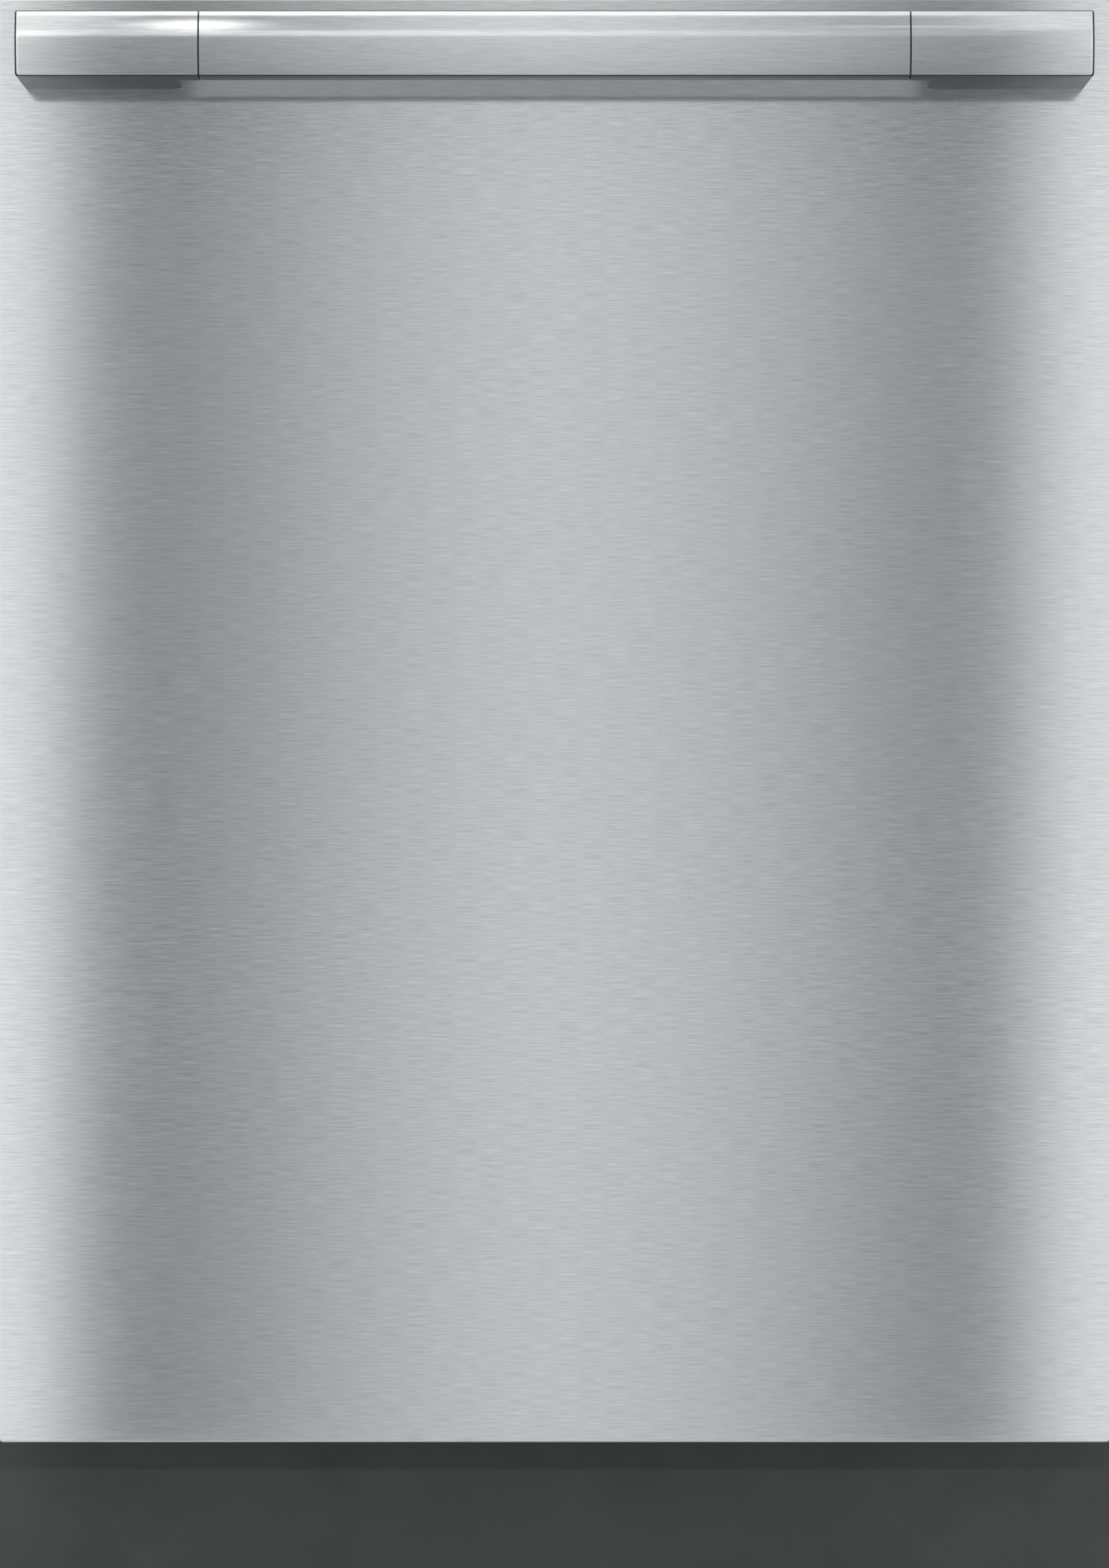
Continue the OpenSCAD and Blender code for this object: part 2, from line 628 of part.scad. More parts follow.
module dispenser() color("#33363a") difference() {
    union() {
        slab(dispenser_x, [inner_y, dispenser_face], dispenser_z);
        slab([dispenser_x[0] + 6, dispenser_x[1] - 6], [inner_y - 30, inner_y + 1],
             [dispenser_z[0] + 6, dispenser_z[1] - 6]);
    }
    slab(cup_x, [inner_y - 26, dispenser_face + eps], cup_z);
    rod_y(cap_x, [inner_y - 14, dispenser_face + eps], cap_z, 14);
    for (z = [cup_z[0] - 6, cup_z[1] + 3])        // grooves that guide the lid
        slab([cup_x[0] - 76, cup_x[1] + 4], [dispenser_face - 1.5, dispenser_face + eps], [z, z + 3]);
}

module dispenser_lid() color("lightgray") {
    slab([cup_x[0] - 4, cup_x[1] + 4], [dispenser_face + 0.2, dispenser_face + 4],
         [cup_z[0] - 8, cup_z[1] + 8]);
    slab([cup_x[0] + 30, cup_x[0] + 40], [dispenser_face + 4, dispenser_face + 7],
         [cup_z[0] + 20, cup_z[1] - 20]);
    for (z = [cup_z[0] - 4.5, cup_z[1] + 4.5])
        slab([cup_x[0] - 2, cup_x[1] + 2], [dispenser_face - 1, dispenser_face + 0.4], [z - 1, z + 1]);
}

module rinse_aid_cap() color("gray") {
    rod_y(cap_x, [dispenser_face + 0.2, dispenser_face + 4], cap_z, cap_r);
    rod_y(cap_x, [inner_y - 8, dispenser_face + 1], cap_z, 13.9);
    slab([cap_x - 17, cap_x + 17], [dispenser_face + 3.5, dispenser_face + 8], [cap_z - 3, cap_z + 3]);
}

// ---- racks ----

module lower_rack() color("lightsteelblue") {
    basket(rack_x, rack_y, lower_z, lower_h, lower_h - 30);
    for (x = [-176, -102, fold_x[0]])
        translate([x, 0, lower_z + 4.2]) comb([rack_y[0] + 20, rack_y[1] - 20], tine_h);
    for (y = wheel_y) both_sides() {
        slab([rack_x + 4, rack_x + 8], [y - 11, y + 11], [track_z + 8, lower_z + 14]);
        rod_x([rack_x + 7, rack_x + 21], y, track_z + wheel_r + gap, 3);
    }
    slab([-70, 70], [rack_y[0] - 5, rack_y[0] - 0.2], [lower_z + lower_h - 52, lower_z + lower_h - 26]);
    for (y = [rack_y[0] + 16, rack_y[1] - 16])
        slab([fold_x[1] - 3, fold_x[1] + 3], [y - 3, y + 3], [lower_z + 2.2, lower_z + 5]);
}

module wheels(y) color("whitesmoke") both_sides() difference() {
    union() {
        rod_x([rack_x + 9, rack_x + 19], y, track_z + wheel_r + gap, wheel_r);
        rod_x([rack_x + 8.3, rack_x + 20], y, track_z + wheel_r + gap, 6);
    }
    rod_x([rack_x + 8, rack_x + 21], y, track_z + wheel_r + gap, 3.05);
    for (a = [0 : 72 : 359])
        translate([0, y, track_z + wheel_r + gap]) rotate([a, 0, 0])
            rod_x([rack_x + 8, rack_x + 20], 0, 10, 2, 24);
}
module front_wheels() wheels(wheel_y[0]);
module middle_wheels() wheels(wheel_y[1]);
module rear_wheels() wheels(wheel_y[2]);

module folding_tines() color("lightsteelblue")
    translate([fold_x[1], 0, fold_z]) comb([rack_y[0] + 20, rack_y[1] - 20], tine_h, 28, 24);

module upper_rack() color("lightsteelblue") {
    basket(rack_x - 6, upper_y, upper_z, upper_h, upper_h - 20);
    both_sides() {
        slab([rack_rail_x, rack_rail_x + slide_t], rail_y, rail_z);
        for (y = [upper_y[0] + 50, upper_y[1] - 50])
            slab([rack_x - 2, rack_rail_x], [y - 14, y + 14], [rail_z[0] + 4, rail_z[1] - 4]);
    }
    for (x = [-70, 60])
        translate([x, 0, upper_z + 4.2]) comb([upper_y[0] + 20, upper_y[1] - 20], 46);
    difference() {
        union() {
            slab([-13, 13], [sump[1], tub_back_y - 28], [upper_z - 32, upper_z - 16]);
            rod_z(sump[0], sump[1], [upper_z - 33, upper_z - 6], 18);
            rod_z(sump[0], sump[1], [upper_z - 48, upper_z - 32], 6);
        }
        rod_y(0, [tub_back_y - 60, tub_back_y - 27], upper_z - 24, 6);
    }
    slab([-70, 70], [upper_y[0] - 5, upper_y[0] - 0.2], [upper_z + upper_h - 42, upper_z + upper_h - 16]);
}

module rail_sliders() color("gainsboro") both_sides()
    slab([tub_x - 2 * slide_t - gap, tub_x - slide_t - gap], rail_y, rail_z);

// It turns on the thicker round wire along its outer edge
module cup_shelf() color("lightsteelblue") translate([18 - rack_x, -20, shelf_z]) {
    wire_grid(shelf_w, shelf_d, 4, 8);
    rod_y(0, [-8, shelf_d + 8], 0, 2.5, 24);
}

// The floor, its four walls and its dividers stand just clear of each other
module cutlery_tray() color("gainsboro") {
    wall = 3;
    x = tray_x - 8;
    floor_x = x - wall - gap;
    floor_y = [tray_y[0] + wall + gap, tray_y[1] - wall - gap];
    both_sides() {
        slab([x - wall, x], tray_y, [tray_z, tray_z + tray_h]);
        slab([x, tub_x - 3.4], tray_y, [tray_z + 10.4, tray_z + 25.6]);
        slab([80 - wall / 2, 80 + wall / 2], floor_y, [tray_z + wall + gap, tray_z + 28]);
    }
    for (y = [tray_y[0], tray_y[1] - wall])
        slab([-floor_x, floor_x], [y, y + wall], [tray_z, tray_z + tray_h]);
    difference() {
        slab([-floor_x, floor_x], floor_y, [tray_z, tray_z + wall]);
        for (i = [0 : 11], j = [0 : 4])
            translate([i * 39 + 12 - x, tray_y[0] + 14 + j * 82, tray_z - eps])
                cube([30, 70, wall + 2 * eps]);
    }
    slab([-60, 60], [tray_y[0] - 4, tray_y[0]], [tray_z + 6, tray_z + 30]);
}

// ---- the parts, one node each ----

base_pan();
tub();
side_panel_left();
side_panel_right();
back_panel();
top_panel();
insulation_mats();
door_gasket();
toe_kick();
sump_bowl();
flat_filter();
circulation_pump();
drain_pump();
inlet_valve();
control_box();
air_break_tank();
feed_pipe();
tub_rails();
hinge_brackets();
door_lock();
counter_brackets();
cabinet_screws();
door_springs();
lock_bolt();
leak_float();
circulation_impeller();
drain_impeller();
filter_cylinder();
lower_spray_arm();
top_spray_arm();
foot_front_left();
foot_front_right();
foot_rear_left();
foot_rear_right();
front_panel();
door_liner();
door_insulation();
control_fascia();
display_window();
handle_bar();
handle_bracket_left();
handle_bracket_right();
handle_screws();
hinge_arms();
dispenser();
dispenser_lid();
rinse_aid_cap();
power_button();
program_button();
start_button();
lower_rack();
front_wheels();
middle_wheels();
rear_wheels();
folding_tines();
upper_rack();
rail_sliders();
middle_spray_arm();
cup_shelf();
cutlery_tray();
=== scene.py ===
"""Looks for the built-in dishwasher: materials, finely modelled pieces, studio and camera."""
import json
import math

import bmesh
import bpy
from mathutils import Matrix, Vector


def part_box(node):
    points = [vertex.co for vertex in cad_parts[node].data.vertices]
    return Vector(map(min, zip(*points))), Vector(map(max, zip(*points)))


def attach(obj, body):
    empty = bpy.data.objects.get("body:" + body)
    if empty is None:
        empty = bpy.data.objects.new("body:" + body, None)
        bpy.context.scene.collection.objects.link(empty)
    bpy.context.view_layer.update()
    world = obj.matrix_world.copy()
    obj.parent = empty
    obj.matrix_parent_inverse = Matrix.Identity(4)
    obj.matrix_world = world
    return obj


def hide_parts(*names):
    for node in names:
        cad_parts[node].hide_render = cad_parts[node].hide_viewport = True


MM = 0.001
X, Y, Z = range(3)
SIDES = ((-1, "left"), (1, "right"))

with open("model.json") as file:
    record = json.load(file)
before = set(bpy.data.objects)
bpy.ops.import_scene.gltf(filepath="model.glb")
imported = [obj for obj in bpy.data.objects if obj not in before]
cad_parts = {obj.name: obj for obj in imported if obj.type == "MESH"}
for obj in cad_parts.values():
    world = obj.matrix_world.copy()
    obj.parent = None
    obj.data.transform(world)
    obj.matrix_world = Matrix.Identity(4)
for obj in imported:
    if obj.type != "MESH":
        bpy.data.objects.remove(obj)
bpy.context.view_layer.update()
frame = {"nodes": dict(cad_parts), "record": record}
nodes = frame["nodes"]


# ---- material helpers ----

# The part of a noise's 0 to 1 in which nearly all of its values lie
NOISE_LOW = 0.3
NOISE_HIGH = 0.7


class Material:
    """A Principled material with short ways to add texture nodes."""

    def __init__(self, name, color, roughness, metallic=0.0):
        self.mat = bpy.data.materials.new(name)
        self.mat.use_nodes = True
        self.tree = self.mat.node_tree
        self.shader = self.tree.nodes["Principled BSDF"]
        self.set("Base Color", (*color, 1))
        self.set("Roughness", roughness)
        self.set("Metallic", metallic)
        self.coords = self.node("ShaderNodeTexCoord").outputs["Object"]

    def set(self, socket, value):
        self.shader.inputs[socket].default_value = value

    def node(self, kind, **settings):
        made = self.tree.nodes.new(kind)
        for key, value in settings.items():
            setattr(made, key, value)
        return made

    def link(self, a, b):
        self.tree.links.new(a, b)

    def noise(self, scale, detail=2.0, squeeze=(1, 1, 1)):
        """Noise at that many cells a metre, with finer cells along the axes where squeeze is large."""
        mapping = self.node("ShaderNodeMapping")
        mapping.inputs["Scale"].default_value = squeeze
        self.link(self.coords, mapping.inputs["Vector"])
        made = self.node("ShaderNodeTexNoise")
        made.inputs["Scale"].default_value = scale
        made.inputs["Detail"].default_value = detail
        self.link(mapping.outputs["Vector"], made.inputs["Vector"])
        return made.outputs["Fac"]

    def spread(self, value, low, high):
        """Maps a noise's useful range to low..high."""
        made = self.node("ShaderNodeMapRange")
        made.inputs["From Min"].default_value = NOISE_LOW
        made.inputs["From Max"].default_value = NOISE_HIGH
        made.inputs["To Min"].default_value = low
        made.inputs["To Max"].default_value = high
        self.link(value, made.inputs["Value"])
        return made.outputs["Result"]

    def color_from(self, value, dark, light):
        """Base colour between two colours, by a noise."""
        made = self.node("ShaderNodeMix", data_type="RGBA")
        made.inputs["A"].default_value = (*dark, 1)
        made.inputs["B"].default_value = (*light, 1)
        self.link(self.spread(value, 0, 1), made.inputs["Factor"])
        self.link(made.outputs["Result"], self.shader.inputs["Base Color"])

    def roughness_from(self, value, low, high):
        """Roughness between two values, by a noise."""
        self.link(self.spread(value, low, high), self.shader.inputs["Roughness"])

    def bump(self, value, depth, strength=1.0):
        """Relief of that depth in metres, by a noise."""
        made = self.node("ShaderNodeBump")
        made.inputs["Strength"].default_value = strength
        made.inputs["Distance"].default_value = depth
        self.link(value, made.inputs["Height"])
        self.link(made.outputs["Normal"], self.shader.inputs["Normal"])


def tint(color, k):
    """The colour made lighter or darker by a factor."""
    return tuple(min(1.0, c * k) for c in color)


def brushed(name, color, roughness, grain=(1, 1, 1), contrast=0.03):
    """Metal with fine scratches: long where grain has a small number, thin where it has large ones."""
    m = Material(name, color, roughness, metallic=1.0)
    streaks = m.noise(16, squeeze=grain)
    m.color_from(streaks, tint(color, 1 - contrast), tint(color, 1 + contrast))
    m.roughness_from(m.noise(9, squeeze=grain), roughness * 0.9, roughness * 1.12)
    m.bump(streaks, 0.002 * MM, 0.4)
    return m


def ramp(m, value, stops):
    """Grey levels along a value from 0 to 1; each stop is (place, level)."""
    made = m.node("ShaderNodeValToRGB")
    m.link(value, made.inputs["Fac"])
    elements = made.color_ramp.elements
    elements.remove(elements[1])
    first_place, first_level = stops[0]
    elements[0].position = first_place
    elements[0].color = (first_level, first_level, first_level, 1)
    for place, level in stops[1:]:
        elements.new(place).color = (level, level, level, 1)
    return made.outputs["Color"]


def paint_shade_by_facing(m, axis, stops, outward=False):
    """
    Paints shade into a material's colour: scales it by how far the surface faces along an axis, 0 is
    against it, 1 is along it.
    With outward, the axis points away from the middle on both sides.
    """
    split = m.node("ShaderNodeSeparateXYZ")
    m.link(m.node("ShaderNodeTexCoord").outputs["Normal"], split.inputs["Vector"])
    value = split.outputs[axis]
    if outward:
        place = m.node("ShaderNodeSeparateXYZ")
        m.link(m.coords, place.inputs["Vector"])
        side = m.node("ShaderNodeMath", operation="SIGN")
        m.link(place.outputs[axis], side.inputs[0])
        product = m.node("ShaderNodeMath", operation="MULTIPLY")
        m.link(value, product.inputs[0])
        m.link(side.outputs["Value"], product.inputs[1])
        value = product.outputs["Value"]
    facing = m.node("ShaderNodeMapRange")
    facing.inputs["From Min"].default_value = -1
    m.link(value, facing.inputs["Value"])
    scale = ramp(m, facing.outputs["Result"], stops)
    mixed = m.node("ShaderNodeMix", data_type="RGBA", blend_type="MULTIPLY")
    mixed.inputs["Factor"].default_value = 1
    m.link(m.shader.inputs["Base Color"].links[0].from_socket, mixed.inputs["A"])
    m.link(scale, mixed.inputs["B"])
    m.link(mixed.outputs["Result"], m.shader.inputs["Base Color"])


def moulded(name, color, roughness=0.5, grain=1400, depth=0.03 * MM):
    """Moulded plastic with a fine spark-eroded grain and slightly uneven sheen."""
    m = Material(name, color, roughness)
    fine = m.noise(grain)
    m.color_from(m.noise(24, detail=3), tint(color, 0.93), tint(color, 1.06))
    m.roughness_from(fine, roughness * 0.88, roughness * 1.12)
    m.bump(fine, depth, 0.5)
    return m


def galvanised(name, color):
    """Galvanised sheet with faint spangle."""
    m = Material(name, color, 0.42, metallic=0.9)
    cells = m.node("ShaderNodeTexVoronoi")
    cells.inputs["Scale"].default_value = 190
    m.link(m.coords, cells.inputs["Vector"])
    grey = m.node("ShaderNodeSeparateColor")
    m.link(cells.outputs["Color"], grey.inputs["Color"])
    m.color_from(grey.outputs["Red"], tint(color, 0.965), tint(color, 1.03))
    m.roughness_from(grey.outputs["Green"], 0.4, 0.47)
    m.bump(m.noise(60), 0.04 * MM, 0.3)
    return m


# ---- materials ----

# Grains of scratches that run along X and along Z
ALONG_X = (4.6, 110, 110)
ALONG_Z = (60, 60, 0.9)

looks = {
    "door_steel": brushed("door_steel", (0.62, 0.63, 0.645), 0.11, ALONG_X, 0.11),
    "handle_steel": brushed("handle_steel", (0.64, 0.645, 0.655), 0.13, ALONG_X, 0.08),
    "blasted_steel": Material("blasted_steel", (0.56, 0.56, 0.56), 0.5, metallic=0.35),
    "tub_steel": brushed("tub_steel", (0.66, 0.67, 0.68), 0.3, ALONG_Z, 0.008),
    "liner_steel": brushed("liner_steel", (0.64, 0.65, 0.66), 0.26, ALONG_X, 0.015),
    "mesh_steel": brushed("mesh_steel", (0.5, 0.51, 0.52), 0.3, contrast=0.05),
    "zinc_sheet": galvanised("zinc_sheet", (0.47, 0.485, 0.5)),
    "zinc_hardware": galvanised("zinc_hardware", (0.6, 0.6, 0.57)),
    "base_plastic": moulded("base_plastic", (0.03, 0.031, 0.033), 0.55),
    "toe_kick_paint": moulded("toe_kick_paint", (0.066, 0.067, 0.067), 0.75, 900),
    "sound_mat": moulded("sound_mat", (0.03, 0.03, 0.03), 0.9, 300, 0.4 * MM),
    "seal_rubber": moulded("seal_rubber", (0.012, 0.012, 0.013), 0.62, 900),
    "pump_plastic": moulded("pump_plastic", (0.16, 0.18, 0.2), 0.45),
    "white_plastic": moulded("white_plastic", (0.75, 0.75, 0.72), 0.35),
    "ivory_plastic": moulded("ivory_plastic", (0.72, 0.7, 0.62), 0.38),
    "black_plastic": moulded("black_plastic", (0.018, 0.018, 0.02), 0.5),
    "wash_plastic": moulded("wash_plastic", (0.23, 0.25, 0.265), 0.42),
    "orange_plastic": moulded("orange_plastic", (0.75, 0.2, 0.03), 0.4),
    "fascia_plastic": moulded("fascia_plastic", (0.012, 0.012, 0.013), 0.22, 2000, 0.005 * MM),
    "display_glass": moulded("display_glass", (0.004, 0.005, 0.006), 0.06, 2000, 0.001 * MM),
    "button_silver": moulded("button_silver", (0.5, 0.51, 0.52), 0.3, 2000, 0.01 * MM),
    "dispenser_grey": moulded("dispenser_grey", (0.1, 0.108, 0.115), 0.42),
    "lid_grey": moulded("lid_grey", (0.42, 0.43, 0.44), 0.35),
    "coated_wire": moulded("coated_wire", (0.34, 0.36, 0.38), 0.3, 700, 0.01 * MM),
    "wheel_grey": moulded("wheel_grey", (0.3, 0.32, 0.34), 0.4),
}

# Settings of the shader that differ from its own defaults, or from what the helpers set
SOCKETS = {
    "handle_steel": {"Metallic": 0.82, "Anisotropic": 0.35, "Specular Tint": (0.34, 0.34, 0.34, 1)},
    "door_steel": {"Metallic": 0.82, "Anisotropic": 0.7},
    "tub_steel": {"Metallic": 0.8},
    "toe_kick_paint": {"Specular IOR Level": 0.1},
}
for look, settings in SOCKETS.items():
    for socket, value in settings.items():
        looks[look].set(socket, value)

looks["blasted_steel"].bump(looks["blasted_steel"].noise(2500), 0.01 * MM)

# Painted shade on the handle: a scale on its colour where it faces down, at 0, through sideways, at 0.5, to
# up, at 1.
# It darkens the underside and lower edge, the lower face towards the bottom, and the faces that look up,
# for a thin dark line along the top
HANDLE_PAINTED_SHADE = [(0, 0.34), (0.02, 0.34), (0.04, 0.05), (0.25, 0.05), (0.31, 0.72), (0.34, 0.84), (0.5, 1.0),
                (0.9, 1.0), (0.93, 0.4)]
# Painted shade where it faces inwards, at 0, or outwards, at 1: only the rounded outer ends are darkened
END_PAINTED_SHADE = [(0.67, 1), (0.72, 0.2), (0.965, 0.2), (0.99, 1)]
paint_shade_by_facing(looks["handle_steel"], "Z", HANDLE_PAINTED_SHADE)
paint_shade_by_facing(looks["handle_steel"], "X", END_PAINTED_SHADE, outward=True)


# ---- CAD pieces that are shown themselves ----

# The look of each material slot of the record, and of the nodes that differ from their slot
SLOT_LOOKS = {
    "brushed_stainless": "door_steel", "tub_stainless": "tub_steel", "zinc_sheet": "zinc_sheet",
    "zinc_hardware": "zinc_hardware", "base_plastic": "base_plastic", "toe_kick_paint": "toe_kick_paint",
    "mat": "sound_mat", "seal_rubber": "seal_rubber", "pump_plastic": "pump_plastic",
    "impeller_plastic": "white_plastic", "valve_plastic": "ivory_plastic",
    "electronics_plastic": "black_plastic", "wash_plastic": "wash_plastic",
    "float_plastic": "orange_plastic", "foot_plastic": "black_plastic", "fascia_plastic": "fascia_plastic",
    "display": "display_glass", "button_metal": "button_silver", "dispenser_plastic": "dispenser_grey",
    "dispenser_lid_plastic": "lid_grey", "coated_wire": "coated_wire", "wheel_plastic": "wheel_grey",
    "tray_plastic": "wheel_grey",
}
NODE_LOOKS = {
    "door_liner": "liner_steel", "flat_filter": "mesh_steel", "handle_bar": "handle_steel",
    "handle_bracket_left": "handle_steel", "handle_bracket_right": "handle_steel",
}

# How far the CAD pieces' edges are rounded, in mm
EDGE_SOFTNESS = {
    "tub": 3, "door_liner": 4, "control_fascia": 1.2, "door_gasket": 2.5, "toe_kick": 1.2,
    "base_pan": 1.5, "sump_bowl": 1, "dispenser": 1.5, "dispenser_lid": 1, "rinse_aid_cap": 0.6,
    "lower_spray_arm": 1.2, "middle_spray_arm": 1.2, "top_spray_arm": 1.2, "feed_pipe": 2, "control_box": 2,
    "air_break_tank": 3, "cutlery_tray": 0.8, "insulation_mats": 2, "tub_rails": 0.6, "rail_sliders": 0.5,
    "power_button": 0.7, "program_button": 0.7, "start_button": 0.7,
}
OTHER_SOFTNESS = 0.3
WELD_REACH = 0.01 * MM
EDGE_ANGLE = math.radians(40)

# These have finer pieces instead, further down
REPLACED = {
    "handle_bar", "handle_bracket_left", "handle_bracket_right", "front_panel", "side_panel_left",
    "side_panel_right", "back_panel", "top_panel", "lower_rack", "upper_rack", "folding_tines", "cup_shelf",
}


def soften_edges(name):
    """Joins a CAD piece's faces and rounds its edges, by modifiers."""
    weld = nodes[name].modifiers.new("weld", "WELD")
    weld.merge_threshold = WELD_REACH
    bevel = nodes[name].modifiers.new("soft_edges", "BEVEL")
    bevel.width = EDGE_SOFTNESS.get(name, OTHER_SOFTNESS) * MM
    bevel.segments = 3
    bevel.limit_method = "ANGLE"
    bevel.angle_limit = EDGE_ANGLE
    bevel.harden_normals = True


for part in frame["record"]["subparts"]:
    look = NODE_LOOKS.get(part["node"], SLOT_LOOKS[part["material_slot"]])
    for material_slot in nodes[part["node"]].material_slots:
        material_slot.material = looks[look].mat
    if part["node"] not in REPLACED:
        soften_edges(part["node"])


# ---- mesh helpers ----

# Points closer than this are one
MERGE_REACH = 0.001 * MM
ARC_STEPS = 5


def add_mesh(name, verts, faces, look, smooth_angle=35):
    """An object of those faces, smooth where they meet at less than smooth_angle degrees."""
    mesh = bpy.data.meshes.new(name)
    mesh.from_pydata([tuple(v) for v in verts], [], faces)
    bm = bmesh.new()
    bm.from_mesh(mesh)
    bmesh.ops.remove_doubles(bm, verts=bm.verts, dist=MERGE_REACH)
    bmesh.ops.recalc_face_normals(bm, faces=bm.faces)
    bm.to_mesh(mesh)
    bm.free()
    mesh.polygons.foreach_set("use_smooth", [True] * len(mesh.polygons))
    mesh.set_sharp_from_angle(angle=math.radians(smooth_angle))
    mesh.materials.append(looks[look].mat)
    made = bpy.data.objects.new(name, mesh)
    bpy.context.collection.objects.link(made)
    return made


def rings_to_faces(rings):
    """All points, and the faces between rings of equally many points, with the end rings as caps."""
    n = len(rings[0])
    faces = []
    for i in range(len(rings) - 1):
        for k in range(n):
            j = (k + 1) % n
            faces.append((i * n + k, i * n + j, (i + 1) * n + j, (i + 1) * n + k))
    last = (len(rings) - 1) * n
    faces.append(tuple(range(n)))
    faces.append(tuple(range(last + n - 1, last - 1, -1)))
    return [v for ring in rings for v in ring], faces


def fillet(outline, radii):
    """A closed 2-D outline with each corner rounded by its own radius."""
    made = []
    for k, corner in enumerate(outline):
        p = Vector(corner)
        r = radii[k]
        if r <= 0:
            made.append(p)
            continue
        a = (Vector(outline[k - 1]) - p).normalized()
        b = (Vector(outline[(k + 1) % len(outline)]) - p).normalized()
        half = a.angle(b) / 2
        centre = p + (a + b).normalized() * (r / math.sin(half))
        start = p + a * (r / math.tan(half)) - centre
        turn = start.angle_signed(p + b * (r / math.tan(half)) - centre)
        for i in range(ARC_STEPS + 1):
            t = -turn * i / ARC_STEPS
            made.append(centre + Vector((start.x * math.cos(t) - start.y * math.sin(t),
                                         start.x * math.sin(t) + start.y * math.cos(t))))
    return made


def round_path(points, radius, closed=False):
    """A path in space with its corners rounded."""
    points = [Vector(p) for p in points]
    made = []
    for k, p in enumerate(points):
        if not closed and k in (0, len(points) - 1):
            made.append(p)
            continue
        a = points[k - 1] - p
        b = points[(k + 1) % len(points)] - p
        half = a.angle(b) / 2
        reach = min(radius / math.tan(half), a.length * 0.49, b.length * 0.49)
        r = reach * math.tan(half)
        centre = p + (a.normalized() + b.normalized()).normalized() * (r / math.sin(half))
        start = p + a.normalized() * reach - centre
        end = p + b.normalized() * reach - centre
        whole = start.angle(end)
        for i in range(ARC_STEPS + 1):
            t = i / ARC_STEPS
            turned = start * math.sin((1 - t) * whole) + end * math.sin(t * whole)
            made.append(centre + turned / math.sin(whole))
    return made


def wires(name, paths, radius, look, closed=False):
    """Round wires along several paths, as one curve; closed joins each path's end to its start."""
    data = bpy.data.curves.new(name, "CURVE")
    data.dimensions = "3D"
    data.bevel_depth = radius
    data.bevel_resolution = 3
    data.use_fill_caps = True
    for path in paths:
        spline = data.splines.new("POLY")
        spline.points.add(len(path) - 1)
        for point, place in zip(spline.points, path):
            point.co = (*place, 1)
        spline.use_cyclic_u = closed
        spline.use_smooth = True
    data.materials.append(looks[look].mat)
    made = bpy.data.objects.new(name, data)
    bpy.context.collection.objects.link(made)
    return made


def plate(name, low, high, axis, radius, look, edge=0.6 * MM):
    """A box with rounded corners seen along axis, and softened edges."""
    low, high = Vector(low), Vector(high)
    u, v = [(1, 2), (0, 2), (0, 1)][axis]
    corners = [(low[u], low[v]), (high[u], low[v]), (high[u], high[v]), (low[u], high[v])]
    outline = fillet(corners, [radius] * 4)
    centre = Vector(((low[u] + high[u]) / 2, (low[v] + high[v]) / 2))
    start, end = low[axis], high[axis]
    rings = []
    for along, depth in ((start, edge), (start + edge, 0), (end - edge, 0), (end, edge)):
        ring = []
        for q in outline:
            spot = [0, 0, 0]
            spot[axis] = along
            spot[u] = q.x - math.copysign(depth, q.x - centre.x)
            spot[v] = q.y - math.copysign(depth, q.y - centre.y)
            ring.append(spot)
        rings.append(ring)
    return add_mesh(name, *rings_to_faces(rings), look)


def lathe(name, profile, place, axis, look, sides=40):
    """Turns a profile of (radius, distance along axis) round an axis through place."""
    u, v = [(1, 2), (2, 0), (0, 1)][axis]
    rings = []
    for r, along in profile:
        ring = []
        for i in range(sides):
            t = 2 * math.pi * i / sides
            spot = list(place)
            spot[axis] += along
            spot[u] += r * math.cos(t)
            spot[v] += r * math.sin(t)
            ring.append(spot)
        rings.append(ring)
    return add_mesh(name, *rings_to_faces(rings), look)


def settle(piece, body, replaced=()):
    """Puts a piece on its body, and hides the CAD nodes it stands for."""
    if replaced:
        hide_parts(*replaced)
    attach(piece, body)


# ---- handle ----

BAR_CROWN = 3 * MM
BAR_THICK = 23.7 * MM
CROWN_STEPS = 48
TOP_ROUND = 2.2 * MM
LOWER_ROUND = 0.7 * MM
BACK_ROUND = 1.2 * MM
SEAM = 0.2 * MM


def bar_section():
    """The bar's outline in (Y, Z): soft top edge, crisp lower edge, crowned face."""
    low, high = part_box("handle_bar")
    face, back = low.y, low.y + BAR_THICK
    outline = [(back, low.z), (back, high.z), (face + BAR_CROWN, high.z)]
    radii = [BACK_ROUND, BACK_ROUND, TOP_ROUND]
    # The crown, without the steps that the rounded top and lower edges take up
    for i in range(4, CROWN_STEPS - 1):
        t = 1 - 2 * i / CROWN_STEPS
        outline.append((face + BAR_CROWN * t * t, (low.z + high.z) / 2 + t * (high.z - low.z) / 2))
        radii.append(0)
    outline.append((face + BAR_CROWN, low.z))
    radii.append(LOWER_ROUND)
    return fillet(outline, radii)


def inset(outline, depth):
    """The outline moved inwards; it runs clockwise or anticlockwise."""
    turn = sum(outline[k - 1].cross(outline[k]) for k in range(len(outline)))
    made = []
    for k, p in enumerate(outline):
        along = (outline[(k + 1) % len(outline)] - outline[k - 1]).normalized()
        made.append(p + Vector((-along.y, along.x)) * math.copysign(depth, turn))
    return made


